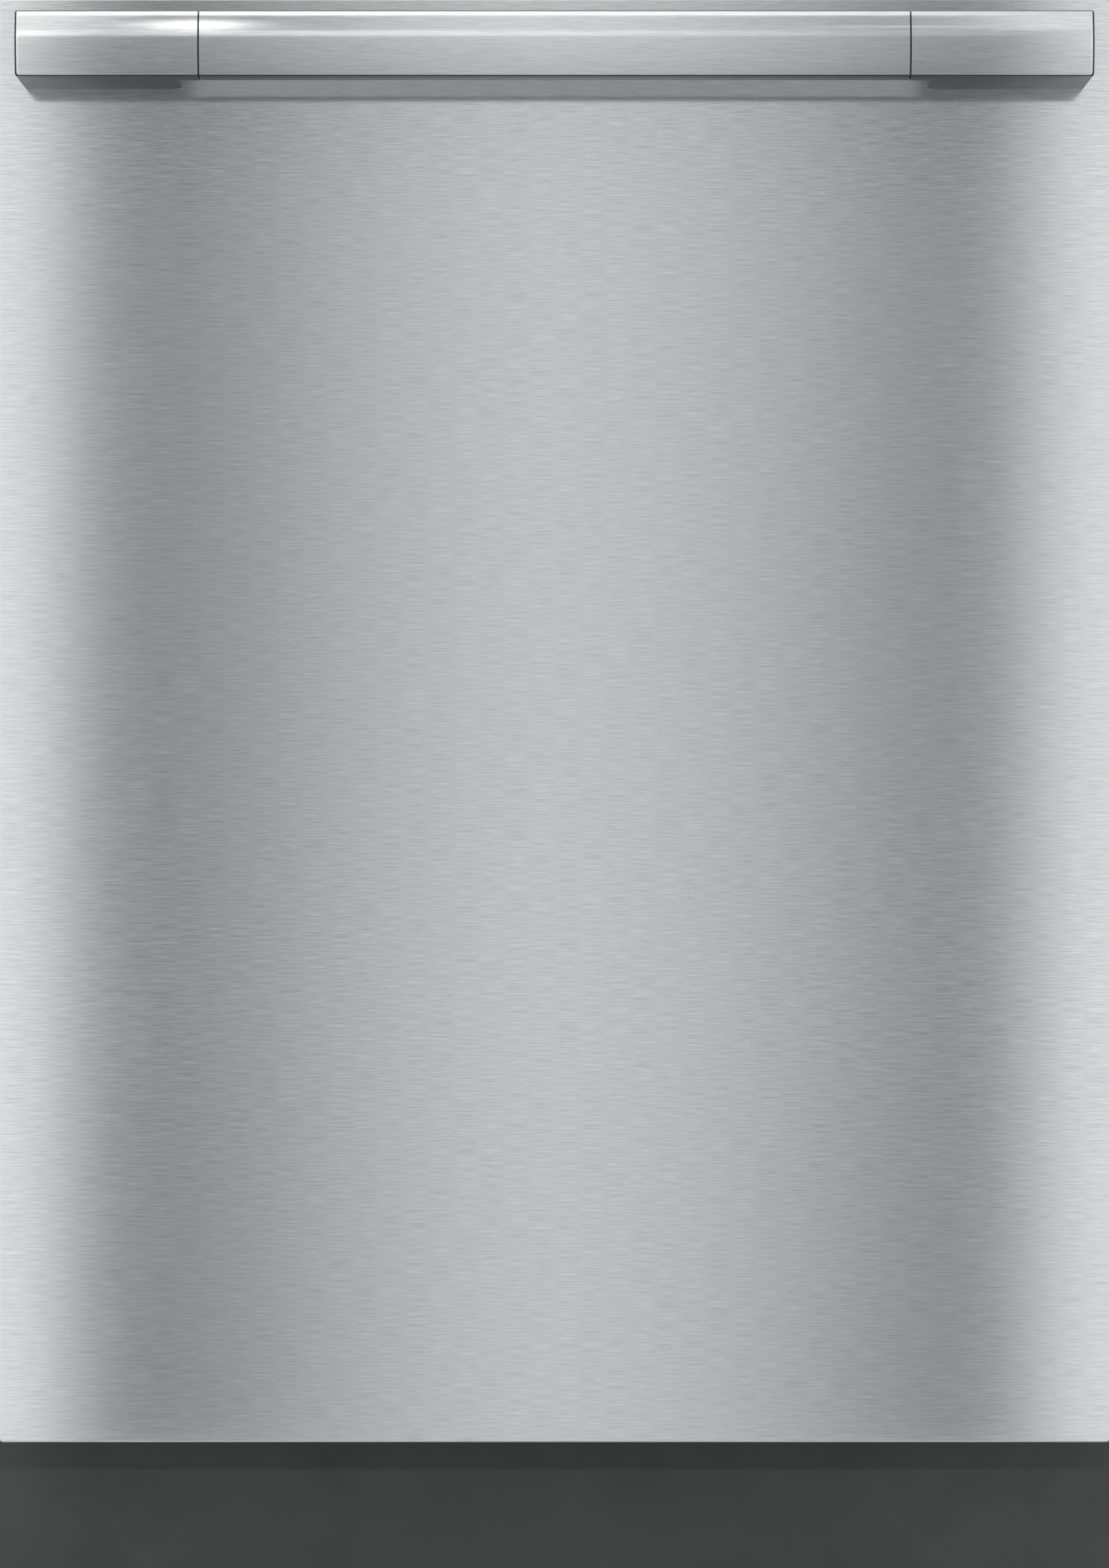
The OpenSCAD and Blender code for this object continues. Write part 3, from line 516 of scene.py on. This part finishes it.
def make_bar():
    """The bar, a blasted strip along its back, and at each end a dark spacer that paints the shade in the
    seam.
    """
    low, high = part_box("handle_bar")
    section = bar_section()
    edge = 0.3 * MM
    end = high.x - SEAM
    rings = []
    for x, depth in ((-end, edge), (edge - end, 0), (end - edge, 0), (end, edge)):
        rings.append([(x, *p) for p in inset(section, depth)])
    bar = add_mesh("handle_bar_steel", *rings_to_faces(rings), "handle_steel")
    settle(bar, "door", ["handle_bar"])

    back = low.y + BAR_THICK
    # The strip runs on past the seams, nearly to the brackets' posts
    reach = high.x + 8.5 * MM
    strip = plate("handle_back", (-reach, back - 0.5 * MM, low.z + 0.3 * MM),
                  (reach, back + 0.1 * MM, high.z - 1.5 * MM), Y, 0, "blasted_steel", 0.1 * MM)
    settle(strip, "door")

    # A thin dark piece in each seam stands in for the shade in the gap between bar and bracket
    for side, tag in SIDES:
        rings = [[(side * x, *p) for p in inset(section, 0.6 * MM)] for x in (end - 1 * MM, high.x)]
        seam_shade = add_mesh("handle_seam_shade_" + tag, *rings_to_faces(rings), "black_plastic")
        settle(seam_shade, "door")


def make_bracket(side, tag):
    """The bar's section up to the end, and a post to the door behind it, as one casting."""
    name = "handle_bracket_" + tag
    low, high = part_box(name)
    inner, outer = sorted((side * low.x, side * high.x))
    inner += SEAM / 2
    post = inner + 11.5 * MM
    end_round = 1.6 * MM
    # Points just beside the rounding keep the flat faces' shading flat right up to it
    support = end_round + 0.5 * MM
    face, back, door = low.y, low.y + BAR_THICK, high.y
    front = [p for p in bar_section() if p.x < back - 2 * MM]
    front.sort(key=lambda p: p.y)
    rings = []
    for p in front:
        # The end draws back a little towards its top and lower edges
        to_edge = min(p.y - low.z, high.z - p.y)
        end = outer - 0.8 * max(0.0, 0.9 * MM - to_edge)
        shoulder = min(p.x, face + BAR_CROWN + 3 * MM)
        plan = [(inner, back), (inner, shoulder), (end - support, shoulder), (end, shoulder),
                (end, shoulder + support), (end, door), (post + 0.2 * MM, door), (post, back)]
        radii = [0, 0, 0, end_round, 0, 0, 6 * MM, 2.5 * MM]
        rings.append([(side * q.x, q.y, p.y) for q in fillet(plan, radii)])
    bracket = add_mesh(name + "_casting", *rings_to_faces(rings), "handle_steel")
    settle(bracket, "door", [name])


make_bar()
for side, tag in reversed(SIDES):
    make_bracket(side, tag)


# ---- door front ----

def make_front_panel():
    """The folded steel front: a rounded face edge, four returns and an open back."""
    low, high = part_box("front_panel")
    sheet = 1.2 * MM
    bend = 0.4 * MM
    profile = [(low.y + sheet, sheet), (high.y, sheet), (high.y, 0)]
    for degrees in range(0, 91, 15):
        a = math.radians(degrees)
        profile.append((low.y + bend * (1 - math.sin(a)), bend * (1 - math.cos(a))))
    # A last ring just inside the bend keeps the face's shading flat right up to it
    profile.append((low.y, bend + 0.4 * MM))
    rings = []
    for y, depth in profile:
        x0, x1 = low.x + depth, high.x - depth
        z0, z1 = low.z + depth, high.z - depth
        corner = max(2 * MM - depth, 0.4 * MM)
        outline = fillet([(x0, z0), (x1, z0), (x1, z1), (x0, z1)], [corner] * 4)
        rings.append([(q.x, y, q.y) for q in outline])
    front = add_mesh("front_panel_steel", *rings_to_faces(rings), "door_steel", 50)
    settle(front, "door", ["front_panel"])


make_front_panel()


# ---- outer panels ----

SHEET = 1 * MM
FIELD_SLOPE = 4 * MM
FIELD_CORNER = 16 * MM


def rounded_distance(u, v, low, high, corner):
    """How far (u, v) is outside a rounded rectangle; inside it is negative."""
    du = max(low[0] + corner - u, u - high[0] + corner)
    dv = max(low[1] + corner - v, v - high[1] + corner)
    return math.hypot(max(du, 0), max(dv, 0)) + min(max(du, dv), 0) - corner


def grid_lines(low, high, marks):
    """Coordinates across a sheet: close together at each field's border, far apart elsewhere."""
    lines = {low, high}
    for mark, inward in marks:
        lines.update(mark + inward * FIELD_SLOPE * i / 6 for i in range(-4, 7))
        lines.update(mark + inward * FIELD_CORNER * i / 6 for i in range(1, 8))
    return sorted(round(line, 6) for line in lines if low <= line <= high)


def pressed_sheet(name, axis, face, out, low, high, fields):
    """
    A steel sheet with pressed fields. Its outer face lies at face on the axis and looks towards out, and
    low, high and the fields' corners are in the other two axes. Each field is (low, high, rise).
    """
    u_marks = [(edge, way) for lo, hi, _ in fields for edge, way in ((lo[0], 1), (hi[0], -1))]
    v_marks = [(edge, way) for lo, hi, _ in fields for edge, way in ((lo[1], 1), (hi[1], -1))]
    us = grid_lines(low[0], high[0], u_marks)
    vs = grid_lines(low[1], high[1], v_marks)
    others = [k for k in range(3) if k != axis]
    verts = []
    for depth in (0, SHEET):
        for u in us:
            for v in vs:
                height = -depth
                for lo, hi, rise in fields:
                    inside = -rounded_distance(u, v, lo, hi, FIELD_CORNER)
                    t = min(max(inside / FIELD_SLOPE, 0), 1)
                    height += rise * t * t * (3 - 2 * t)
                spot = [0, 0, 0]
                spot[axis] = face + out * height
                spot[others[0]], spot[others[1]] = u, v
                verts.append(spot)

    nv = len(vs)
    count = len(us) * nv
    faces = []
    for i in range(len(us) - 1):
        for j in range(nv - 1):
            a = i * nv + j
            quad = (a, a + 1, a + nv + 1, a + nv)
            faces.append(quad)
            faces.append(tuple(k + count for k in reversed(quad)))
    rim = list(range(nv))
    rim += range(2 * nv - 1, count, nv)
    rim += range(count - 2, count - nv - 1, -1)
    rim += range(count - 2 * nv, 0, -nv)
    for k, a in enumerate(rim):
        b = rim[(k + 1) % len(rim)]
        faces.append((a, b, b + count, a + count))
    return add_mesh(name, verts, faces, "zinc_sheet", 50)


def make_side_panel(side, tag):
    """A side sheet with three raised fields, and the return flange along its top."""
    node = "side_panel_" + tag
    low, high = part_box(node)
    rise = 0.8 * MM
    width = 0.11
    bottom, top = 0.25, 0.76
    face = max(side * low.x, side * high.x) - rise
    fields = [((y, bottom), (y + width, top), rise) for y in (-0.15, 0.01, 0.17)]
    sheet = pressed_sheet(node + "_sheet", X, side * face, side, (low.y, low.z), (high.y, high.z), fields)
    settle(sheet, "cabinet", [node])
    x0, x1 = sorted((side * (face - 14 * MM), side * (face - 0.5 * MM)))
    flange = plate(node + "_flange", (x0, low.y, high.z - 1 * MM), (x1, high.y, high.z), Z, 0,
                   "zinc_sheet", 0.2 * MM)
    settle(flange, "cabinet")


def make_back_panel():
    """The back sheet with three sunk fields, and a row of vents below them."""
    low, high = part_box("back_panel")
    width = 0.148
    bottom, top = 0.236, 0.774
    fields = [((x, bottom), (x + width, top), -2 * MM) for x in (-0.244, -0.074, 0.096)]
    # The vents stand a little proud of the sheet, so the sheet stays back from the box's face
    face = high.y - 0.1 * MM
    sheet = pressed_sheet("back_panel_sheet", Y, face, 1, (low.x, low.z), (high.x, high.z), fields)
    settle(sheet, "cabinet", ["back_panel"])
    vents = 9
    pitch = 24 * MM
    for i in range(vents):
        x = (i - vents // 2) * pitch
        vent = plate(f"back_vent_{i}", (x - 8 * MM, high.y - 0.6 * MM, 0.195), (x + 8 * MM, high.y, 0.199),
                     Y, 1.9 * MM, "black_plastic", 0.1 * MM)
        settle(vent, "cabinet")


def make_top_panel():
    """The top sheet with two raised fields, and plugs in its row of holes."""
    low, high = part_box("top_panel")
    width = 0.22
    front, back = -0.11, 0.285
    fields = [((x, front), (x + width, back), 0.8 * MM) for x in (-0.25, 0.03)]
    sheet = pressed_sheet("top_panel_sheet", Z, high.z, 1, (low.x, low.y), (high.x, high.y), fields)
    settle(sheet, "cabinet", ["top_panel"])
    profile = [(3 * MM, 0.6 * MM), (9 * MM, 0.7 * MM), (10 * MM, 1.4 * MM), (13.2 * MM, 1.3 * MM),
               (14 * MM, 0.6 * MM), (14 * MM, -0.2 * MM)]
    for k, y in enumerate((-0.12, 0.04, 0.2)):
        plug = lathe(f"top_plug_{k}", profile, (0, y, high.z), Z, "black_plastic")
        settle(plug, "cabinet")


for side, tag in SIDES:
    make_side_panel(side, tag)
make_back_panel()
make_top_panel()


# ---- control fascia ----

def ring_mark(x, y, z):
    """An open ring with a tick in its gap."""
    r = 2.6 * MM
    turn = [math.radians(a) for a in range(120, 421, 15)]
    return [[(x + r * math.cos(a), y + r * math.sin(a), z) for a in turn],
            [(x, y + 0.6 * MM, z), (x, y + 3.2 * MM, z)]]


def bars_mark(x, y, z):
    """Three short bars."""
    half = 3 * MM
    return [[(x - half, at, z), (x + half, at, z)] for at in (y - 1.7 * MM, y, y + 1.7 * MM)]


def arrow_mark(x, y, z):
    """A triangle that points to the right."""
    back, half = x - 1.8 * MM, 2.4 * MM
    start = (back, y - half, z)
    return [[start, (x + half, y, z), (back, y + half, z), start]]


def make_fascia_marks():
    """A mark on each button, and a row of small lamps beside the display."""
    marks = {"power_button": ring_mark, "program_button": bars_mark, "start_button": arrow_mark}
    for name, mark in marks.items():
        low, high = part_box(name)
        paths = mark((low.x + high.x) / 2, (low.y + high.y) / 2, high.z)
        settle(wires(name + "_mark", paths, 0.25 * MM, "black_plastic"), name)
    low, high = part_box("display_window")
    profile = [(0.3 * MM, 0.3 * MM), (0.8 * MM, 0.25 * MM), (1.1 * MM, 0), (1.1 * MM, -0.4 * MM)]
    for k in range(4):
        place = (high.x + (6 + 5 * k) * MM, (low.y + high.y) / 2, high.z)
        lamp = lathe(f"fascia_lamp_{k}", profile, place, Z, "white_plastic", 16)
        settle(lamp, "door")


make_fascia_marks()


# ---- racks ----

WIRE = 2.0 * MM
RIM = 2.8 * MM
WIRE_BEND = 12 * MM
RIM_BEND = 22 * MM
TINE_PITCH = 28 * MM
TINE_H = 92 * MM
BASKET_H = 104 * MM
BASKET_SPACES = 9
# The rim drops to the front over this length
DROP_LENGTH = 60 * MM
DOOR_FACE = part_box("front_panel")[0].y
TUB_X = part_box("tub_rails")[1].x
TUB_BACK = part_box("feed_pipe")[1].y
TRACK_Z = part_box("front_wheels")[0].z - 0.3 * MM
LOWER_X = TUB_X - 28 * MM
LOWER_Y = (DOOR_FACE + 76 * MM, TUB_BACK - 20 * MM)
LOWER_Z = TRACK_Z + 36 * MM
UPPER_X = TUB_X - 34 * MM
UPPER_Y = (DOOR_FACE + 86 * MM, TUB_BACK - 28 * MM)
UPPER_Z = TRACK_Z + 345 * MM


def basket_wires(x, y, z, top, front_top):
    """The crossing U-shaped wires, the rim loop and the belt loop of an open basket."""
    y0, y1 = y
    slope_end = y0 + DROP_LENGTH
    crossing = []
    for i in range(1, BASKET_SPACES):
        at = y0 + (y1 - y0) * i / BASKET_SPACES
        lift = top if at > slope_end else front_top + (top - front_top) * (at - y0) / DROP_LENGTH
        crossing.append(round_path([(-x, at, lift), (-x, at, z), (x, at, z), (x, at, lift)], WIRE_BEND))
    upper_z = z + 2 * WIRE
    for i in range(1, BASKET_SPACES):
        at = -x + 2 * x * i / BASKET_SPACES
        corners = [(at, y0, front_top), (at, y0, upper_z), (at, y1, upper_z), (at, y1, top)]
        crossing.append(round_path(corners, WIRE_BEND))
    rim = round_path([(-x, y1, top), (x, y1, top), (x, slope_end, top), (x, y0, front_top),
                      (-x, y0, front_top), (-x, slope_end, top)], RIM_BEND, closed=True)
    middle = (z + front_top) / 2
    belt = round_path([(-x, y1, middle), (x, y1, middle), (x, y0, middle), (-x, y0, middle)],
                      RIM_BEND, closed=True)
    return crossing, rim, belt


def tine_row(x, y0, y1, base_z, height, first):
    """Upright tines on their base wire, the first of them that far from its front end."""
    paths = [[(x, y0, base_z), (x, y1, base_z)]]
    at = y0 + first
    while at < y1 - 6 * MM:
        paths.append([(x, at, base_z), (x, at, base_z + height - 2 * MM), (x, at, base_z + height)])
        at += TINE_PITCH
    return paths


def rack_wires(name, x, y, z, front_drop, rows, row_height):
    """A whole basket: its wires, rim and belt, and its rows of fixed tines at those X places."""
    crossing, rim, belt = basket_wires(x, y, z, z + BASKET_H, z + BASKET_H - front_drop)
    for row in rows:
        crossing += tine_row(row, y[0] + 20 * MM, y[1] - 20 * MM, z + 2 * WIRE, row_height, 14 * MM)
    settle(wires(name + "_wires", crossing, WIRE, "coated_wire"), name, [name])
    settle(wires(name + "_rim", [rim], RIM, "coated_wire", True), name)
    settle(wires(name + "_belt", [belt], WIRE, "coated_wire", True), name)


def rack_grip(name, front, bottom):
    """A wide grip plate on the front of a rack."""
    grip = plate(name + "_handle", (-70 * MM, front - 5 * MM, bottom),
                 (70 * MM, front - 2 * MM, bottom + 28 * MM), Y, 9 * MM, "wheel_grey", 1 * MM)
    settle(grip, name)


def make_roller_legs():
    """The legs and axles that carry the lower rack's wheels."""
    y0, y1 = LOWER_Y
    axle_z = TRACK_Z + 16.3 * MM
    stub = [(2 * MM, 7 * MM), (3 * MM, 7.2 * MM), (3 * MM, 20 * MM), (2.2 * MM, 20.8 * MM),
            (0.5 * MM, 21 * MM)]
    for k, y in enumerate((y0 + 62 * MM, (y0 + y1) / 2, y1 - 42 * MM)):
        for side, tag in SIDES:
            x0, x1 = sorted((side * (LOWER_X + 2.5 * MM), side * (LOWER_X + 8 * MM)))
            leg = plate(f"rack_leg_{k}_{tag}", (x0, y - 11 * MM, TRACK_Z + 8 * MM),
                        (x1, y + 11 * MM, LOWER_Z + 14 * MM), X, 8 * MM, "wheel_grey")
            settle(leg, "lower_rack")
            profile = [(r, side * (LOWER_X + along)) for r, along in stub]
            axle = lathe(f"rack_axle_{k}_{tag}", profile, (0, y, axle_z), X, "wheel_grey", 24)
            settle(axle, "lower_rack")


def make_lower_rack():
    """The lower basket with its legs and grip, and the row of tines that folds."""
    y0, y1 = LOWER_Y
    rack_wires("lower_rack", LOWER_X, LOWER_Y, LOWER_Z, front_drop=30 * MM,
               rows=(-0.176, -0.102, 0.064), row_height=TINE_H)
    make_roller_legs()
    rack_grip("lower_rack", y0, LOWER_Z + 40 * MM)
    hinge_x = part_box("folding_tines")[0].x + WIRE
    paths = tine_row(hinge_x, y0 + 20 * MM, y1 - 20 * MM, LOWER_Z + 8 * MM, TINE_H, 28 * MM)
    row = wires("folding_tine_row", paths, WIRE, "coated_wire")
    settle(row, "folding_tines", ["folding_tines"])
    for tag, y in (("front", y0 + 17 * MM), ("rear", y1 - 17 * MM)):
        clip = plate("tine_clip_" + tag, (hinge_x - 4 * MM, y - 2 * MM, LOWER_Z + 1 * MM),
                     (hinge_x + 4 * MM, y + 2 * MM, LOWER_Z + 12 * MM), Y, 3 * MM, "wheel_grey")
        settle(clip, "lower_rack")


def make_rack_rail(side, tag):
    """The upper rack's sliding member on one side, and the two hangers that join it to the basket."""
    low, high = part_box("rail_sliders")
    inner, outer = TUB_X - 18.6 * MM, TUB_X - 12.6 * MM
    x0, x1 = sorted((side * inner, side * outer))
    member = plate("rack_rail_" + tag, (x0, low.y, low.z), (x1, high.y, high.z), X, 2 * MM, "tub_steel")
    settle(member, "upper_rack")
    x0, x1 = sorted((side * (UPPER_X + 1 * MM), side * inner))
    for k, y in enumerate((UPPER_Y[0] + 50 * MM, UPPER_Y[1] - 50 * MM)):
        hanger = plate(f"rack_hanger_{k}_{tag}", (x0, y - 14 * MM, low.z + 4 * MM),
                       (x1, y + 14 * MM, high.z - 4 * MM), X, 5 * MM, "wheel_grey", 1 * MM)
        settle(hanger, "upper_rack")


def make_upper_duct():
    """The water duct below the upper rack, and the hub that its spray arm turns on."""
    arm_low, arm_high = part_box("top_spray_arm")
    hub_y = (arm_low.y + arm_high.y) / 2
    duct = plate("upper_spray_duct", (-13 * MM, hub_y, UPPER_Z - 32 * MM),
                 (13 * MM, TUB_BACK - 28 * MM, UPPER_Z - 16 * MM), Y, 7 * MM, "wash_plastic", 1 * MM)
    settle(duct, "upper_rack")
    profile = [(5 * MM, -48 * MM), (6 * MM, -47 * MM), (6 * MM, -33 * MM), (16 * MM, -33 * MM),
               (18 * MM, -31 * MM), (18 * MM, -9 * MM), (15 * MM, -6 * MM), (3 * MM, -5.5 * MM)]
    hub = lathe("upper_spray_hub", profile, (0, hub_y, UPPER_Z), Z, "wash_plastic")
    settle(hub, "upper_rack")


def make_upper_rack():
    """The upper basket with its rails, hangers, duct and grip."""
    rack_wires("upper_rack", UPPER_X, UPPER_Y, UPPER_Z, front_drop=20 * MM,
               rows=(-0.07, 0.06), row_height=46 * MM)
    for side, tag in SIDES:
        make_rack_rail(side, tag)
    make_upper_duct()
    rack_grip("upper_rack", UPPER_Y[0], UPPER_Z + 52 * MM)


def make_cup_shelf():
    """A wire frame that folds up on the hinge wire along its outer edge."""
    low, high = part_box("cup_shelf")
    hinge = 2.5 * MM
    x0, x1 = low.x + hinge, high.x - WIRE
    y0, y1 = low.y + 8 * MM, high.y - 8 * MM
    z = (low.z + high.z) / 2
    loop = round_path([(x0, y0, z), (x1, y0, z), (x1, y1, z), (x0, y1, z)], WIRE_BEND, closed=True)
    bars = []
    for i in range(1, 4):
        x = x0 + (x1 - x0) * i / 4
        bars.append([(x, y0, z), (x, y1, z)])
    for i in range(1, 8):
        y = y0 + (y1 - y0) * i / 8
        bars.append([(x0, y, z), (x1, y, z)])
    pin = [(x0, low.y, z), (x0, high.y, z)]
    border = wires("cup_shelf_frame", [loop], WIRE, "coated_wire", True)
    settle(border, "cup_shelf", ["cup_shelf"])
    settle(wires("cup_shelf_bars", bars, WIRE * 0.8, "coated_wire"), "cup_shelf")
    settle(wires("cup_shelf_hinge", [pin], hinge, "coated_wire"), "cup_shelf")


make_lower_rack()
make_upper_rack()
make_cup_shelf()


# ---- studio and camera ----

CAMERA_DISTANCE = 3.15
# What the camera leaves off at the door's sides and top, so that the panel's bends stay out of view
TRIM = 0.4 * MM
# The picture's height over its width
PICTURE_TALL = 2296 / 1624


def make_world():
    """Even light from all round."""
    world = bpy.data.worlds.new("studio")
    bpy.context.scene.world = world
    world.use_nodes = True
    background = world.node_tree.nodes["Background"]
    background.inputs["Color"].default_value = (0.92, 0.93, 0.95, 1)
    background.inputs["Strength"].default_value = 0.5


def make_camera():
    """Straight on, far back, with the door's flat face filling the frame from side to side."""
    low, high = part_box("front_panel")
    view_w = high.x - low.x - 2 * TRIM
    view_h = view_w * PICTURE_TALL
    data = bpy.data.cameras.new("camera")
    data.sensor_width = 36
    data.lens = data.sensor_width * CAMERA_DISTANCE / view_h
    camera = bpy.data.objects.new("camera", data)
    camera.location = (0, low.y - CAMERA_DISTANCE, high.z - TRIM - view_h / 2)
    camera.rotation_euler = (math.radians(90), 0, 0)
    bpy.context.collection.objects.link(camera)
    bpy.context.scene.camera = camera


def area_light(name, place, target, size, watts):
    """A soft light, which neither the camera nor reflections see."""
    data = bpy.data.lights.new(name, "AREA")
    data.shape = "RECTANGLE"
    data.size, data.size_y = size
    data.energy = watts
    light = bpy.data.objects.new(name, data)
    light.location = place
    light.rotation_euler = (Vector(target) - Vector(place)).to_track_quat("-Z", "Y").to_euler()
    bpy.context.collection.objects.link(light)
    light.visible_camera = False
    light.visible_glossy = False


# Name: place, the point it is aimed at, width and height, watts
LIGHTS = {
    "key": ((-1.6, -2.6, 2.6), (0, 0, 0.5), (1.6, 1.6), 20),
    "fill": ((2.4, -1.4, 1.8), (0, 0, 0.4), (1.4, 1.8), 16),
    "back": ((-1.0, 2.6, 2.2), (0, 0.2, 0.4), (1.6, 1.6), 40),
    "rim": ((0, 0.35, 2.3), (0, -0.3, 0.8), (1.8, 0.5), 26),
    # These two are for the toe kick: a thin strip above the door's lower edge, so that the edge throws
    # a shadow with a clear border, and a wide strip near the floor that reaches under the door
    "low": ((0, -3.3, 1.16), (0, -0.2, 0.05), (2.4, 0.1), 20),
    "front": ((0, -3.3, 0.2), (0, -0.2, 0.05), (2.4, 0.3), 24),
}

# Softboxes stand this far in front of the door, in rows above each other, and reach this far sideways
CARD_DISTANCE = 0.65
CARD_SIDE = 1.0
BAND_Z = (0.985, 1.06)
UPPER_TOP = 1.33
CARDS_TOP = 2.1

# How bright the softboxes are along the door's width: (place from 0 to 1, level)
DOOR_GLOW = [
    (0, 1.2), (0.036, 0.99), (0.053, 0.75), (0.071, 0.46), (0.107, 0.21), (0.15, 0.21), (0.21, 0.32),
    (0.32, 0.56), (0.43, 0.73), (0.5, 0.785), (0.61, 0.69), (0.71, 0.53), (0.8, 0.33), (0.857, 0.22),
    (0.893, 0.24), (0.929, 0.57), (0.964, 1.0), (1, 1.1),
]
BAND_GLOW = [
    (0, 2.0), (0.05, 1.9), (0.07, 1.4), (0.098, 0.6), (0.135, 0.83), (0.185, 1.1), (0.246, 1.02),
    (0.308, 1.22), (0.5, 1.27), (0.6, 1.05), (0.7, 0.85), (0.8, 0.55), (0.9, 0.45), (0.93, 0.6),
    (0.97, 1.0),
]
UPPER_GLOW = [
    (0, 1.35), (0.037, 1.25), (0.062, 1.15), (0.098, 0.55), (0.135, 0.29), (0.246, 0.3), (0.308, 0.58),
    (0.4, 0.85), (0.5, 0.93), (0.6, 0.8), (0.7, 0.6), (0.8, 0.35), (0.874, 0.5), (0.924, 1.08), (1, 1.1),
]
TOP_GLOW = [(0, 1.7), (0.6, 1.6), (0.8, 1.25), (1, 0.95)]


def reflected_board(name, corners, mat):
    """A board that only reflections see."""
    mesh = bpy.data.meshes.new(name)
    mesh.from_pydata(corners, [], [(0, 1, 2, 3)])
    mesh.materials.append(mat)
    board = bpy.data.objects.new(name, mesh)
    bpy.context.collection.objects.link(board)
    board.visible_camera = False
    board.visible_diffuse = False
    board.visible_shadow = False
    board.visible_transmission = False


def make_flag(side, tag):
    """A dark board beside the door."""
    x = side * 1.35
    near, far = DOOR_FACE - 0.05, DOOR_FACE - 1.1
    top = 1.7
    name = tag + "_flag"
    corners = [(x, far, 0), (x, near, 0), (x, near, top), (x, far, top)]
    reflected_board(name, corners, moulded(name, (0.01, 0.01, 0.01), 0.9).mat)


def door_width_share(m):
    """Where a softbox's point is along the door's mirror image, from 0 at the left to 1 at the right."""
    split = m.node("ShaderNodeSeparateXYZ")
    m.link(m.coords, split.inputs["Vector"])
    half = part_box("front_panel")[1].x * (1 + CARD_DISTANCE / CAMERA_DISTANCE)
    across = m.node("ShaderNodeMapRange")
    across.inputs["From Min"].default_value = -half
    across.inputs["From Max"].default_value = half
    m.link(split.outputs["X"], across.inputs["Value"])
    return across.outputs["Result"]


def fade_out(m, centre, reach):
    """Fades a softbox from its middle, at 1, to nothing at its edges."""
    mapping = m.node("ShaderNodeMapping", vector_type="TEXTURE")
    mapping.inputs["Location"].default_value = centre
    mapping.inputs["Scale"].default_value = reach
    m.link(m.coords, mapping.inputs["Vector"])
    fade = m.node("ShaderNodeTexGradient", gradient_type="SPHERICAL")
    m.link(mapping.outputs["Vector"], fade.inputs["Vector"])
    clear = m.node("ShaderNodeBsdfTransparent")
    mix = m.node("ShaderNodeMixShader")
    m.link(fade.outputs["Fac"], mix.inputs["Fac"])
    m.link(clear.outputs["BSDF"], mix.inputs[1])
    m.link(m.shader.outputs["BSDF"], mix.inputs[2])
    m.link(mix.outputs["Shader"], m.tree.nodes["Material Output"].inputs["Surface"])
    return fade.outputs["Fac"]


def glow_card(name, low, high, stops, depth=0.0, near=0.0, round_glow=False):
    """
    A softbox in front of the door. low and high are its (X, Z) corners, its top leans back over the door
    by depth, and it stands closer to the door by near. Its light varies along the door's width as stops
    say, or, with round_glow, from its edges, at 0, to its middle, at 1.
    """
    (x0, z0), (x1, z1) = low, high
    y = DOOR_FACE - CARD_DISTANCE + near
    m = Material(name, (0, 0, 0), 1)
    if round_glow:
        place = fade_out(m, ((x0 + x1) / 2, y, (z0 + z1) / 2), ((x1 - x0) / 2, 1, (z1 - z0) / 2))
    else:
        place = door_width_share(m)
    m.link(ramp(m, place, stops), m.shader.inputs["Emission Color"])
    m.set("Emission Strength", 1.0)
    m.set("Specular IOR Level", 0)
    reflected_board(name, [(x0, y, z0), (x1, y, z0), (x1, y + depth, z1), (x0, y + depth, z1)], m.mat)


def make_stage():
    """A pale floor, dark boards beside the door, and softboxes in front of it."""
    bpy.ops.mesh.primitive_plane_add(size=5.8, location=(0, 0, 0))
    floor = bpy.context.object
    floor.name = "floor"
    paint = Material("floor_paint", (0.62, 0.62, 0.62), 0.7)
    paint.roughness_from(paint.noise(200), 0.66, 0.74)
    floor.data.materials.append(paint.mat)
    for side, tag in SIDES:
        make_flag(side, tag)
    glow_card("door_card", (-CARD_SIDE, 0), (CARD_SIDE, BAND_Z[0]), DOOR_GLOW)
    glow_card("band_card", (-CARD_SIDE, BAND_Z[0]), (CARD_SIDE, BAND_Z[1]), BAND_GLOW)
    glow_card("upper_card", (-CARD_SIDE, BAND_Z[1]), (CARD_SIDE, UPPER_TOP), UPPER_GLOW)
    glow_card("top_card", (-CARD_SIDE, UPPER_TOP), (CARD_SIDE, CARDS_TOP), TOP_GLOW, depth=0.35)
    # Smaller glows just in front of them, for the bright spots and the line in the door's upper part
    glow_card("left_spot", (-0.267, 0.99), (-0.191, 1.29), [(0, 1.5), (1, 6)], near=0.01, round_glow=True)
    glow_card("right_spot", (0.13, 1.09), (0.31, 1.135), [(0, 1.0), (1, 1.3)], near=0.01, round_glow=True)
    glow_card("right_line", (0.2, 1.058), (0.6, 1.064), [(0, 0.55), (1, 0.55)], near=0.005)


make_world()
make_stage()
make_camera()
for name, settings in LIGHTS.items():
    area_light(name, *settings)
bpy.context.scene.view_settings.view_transform = "Standard"
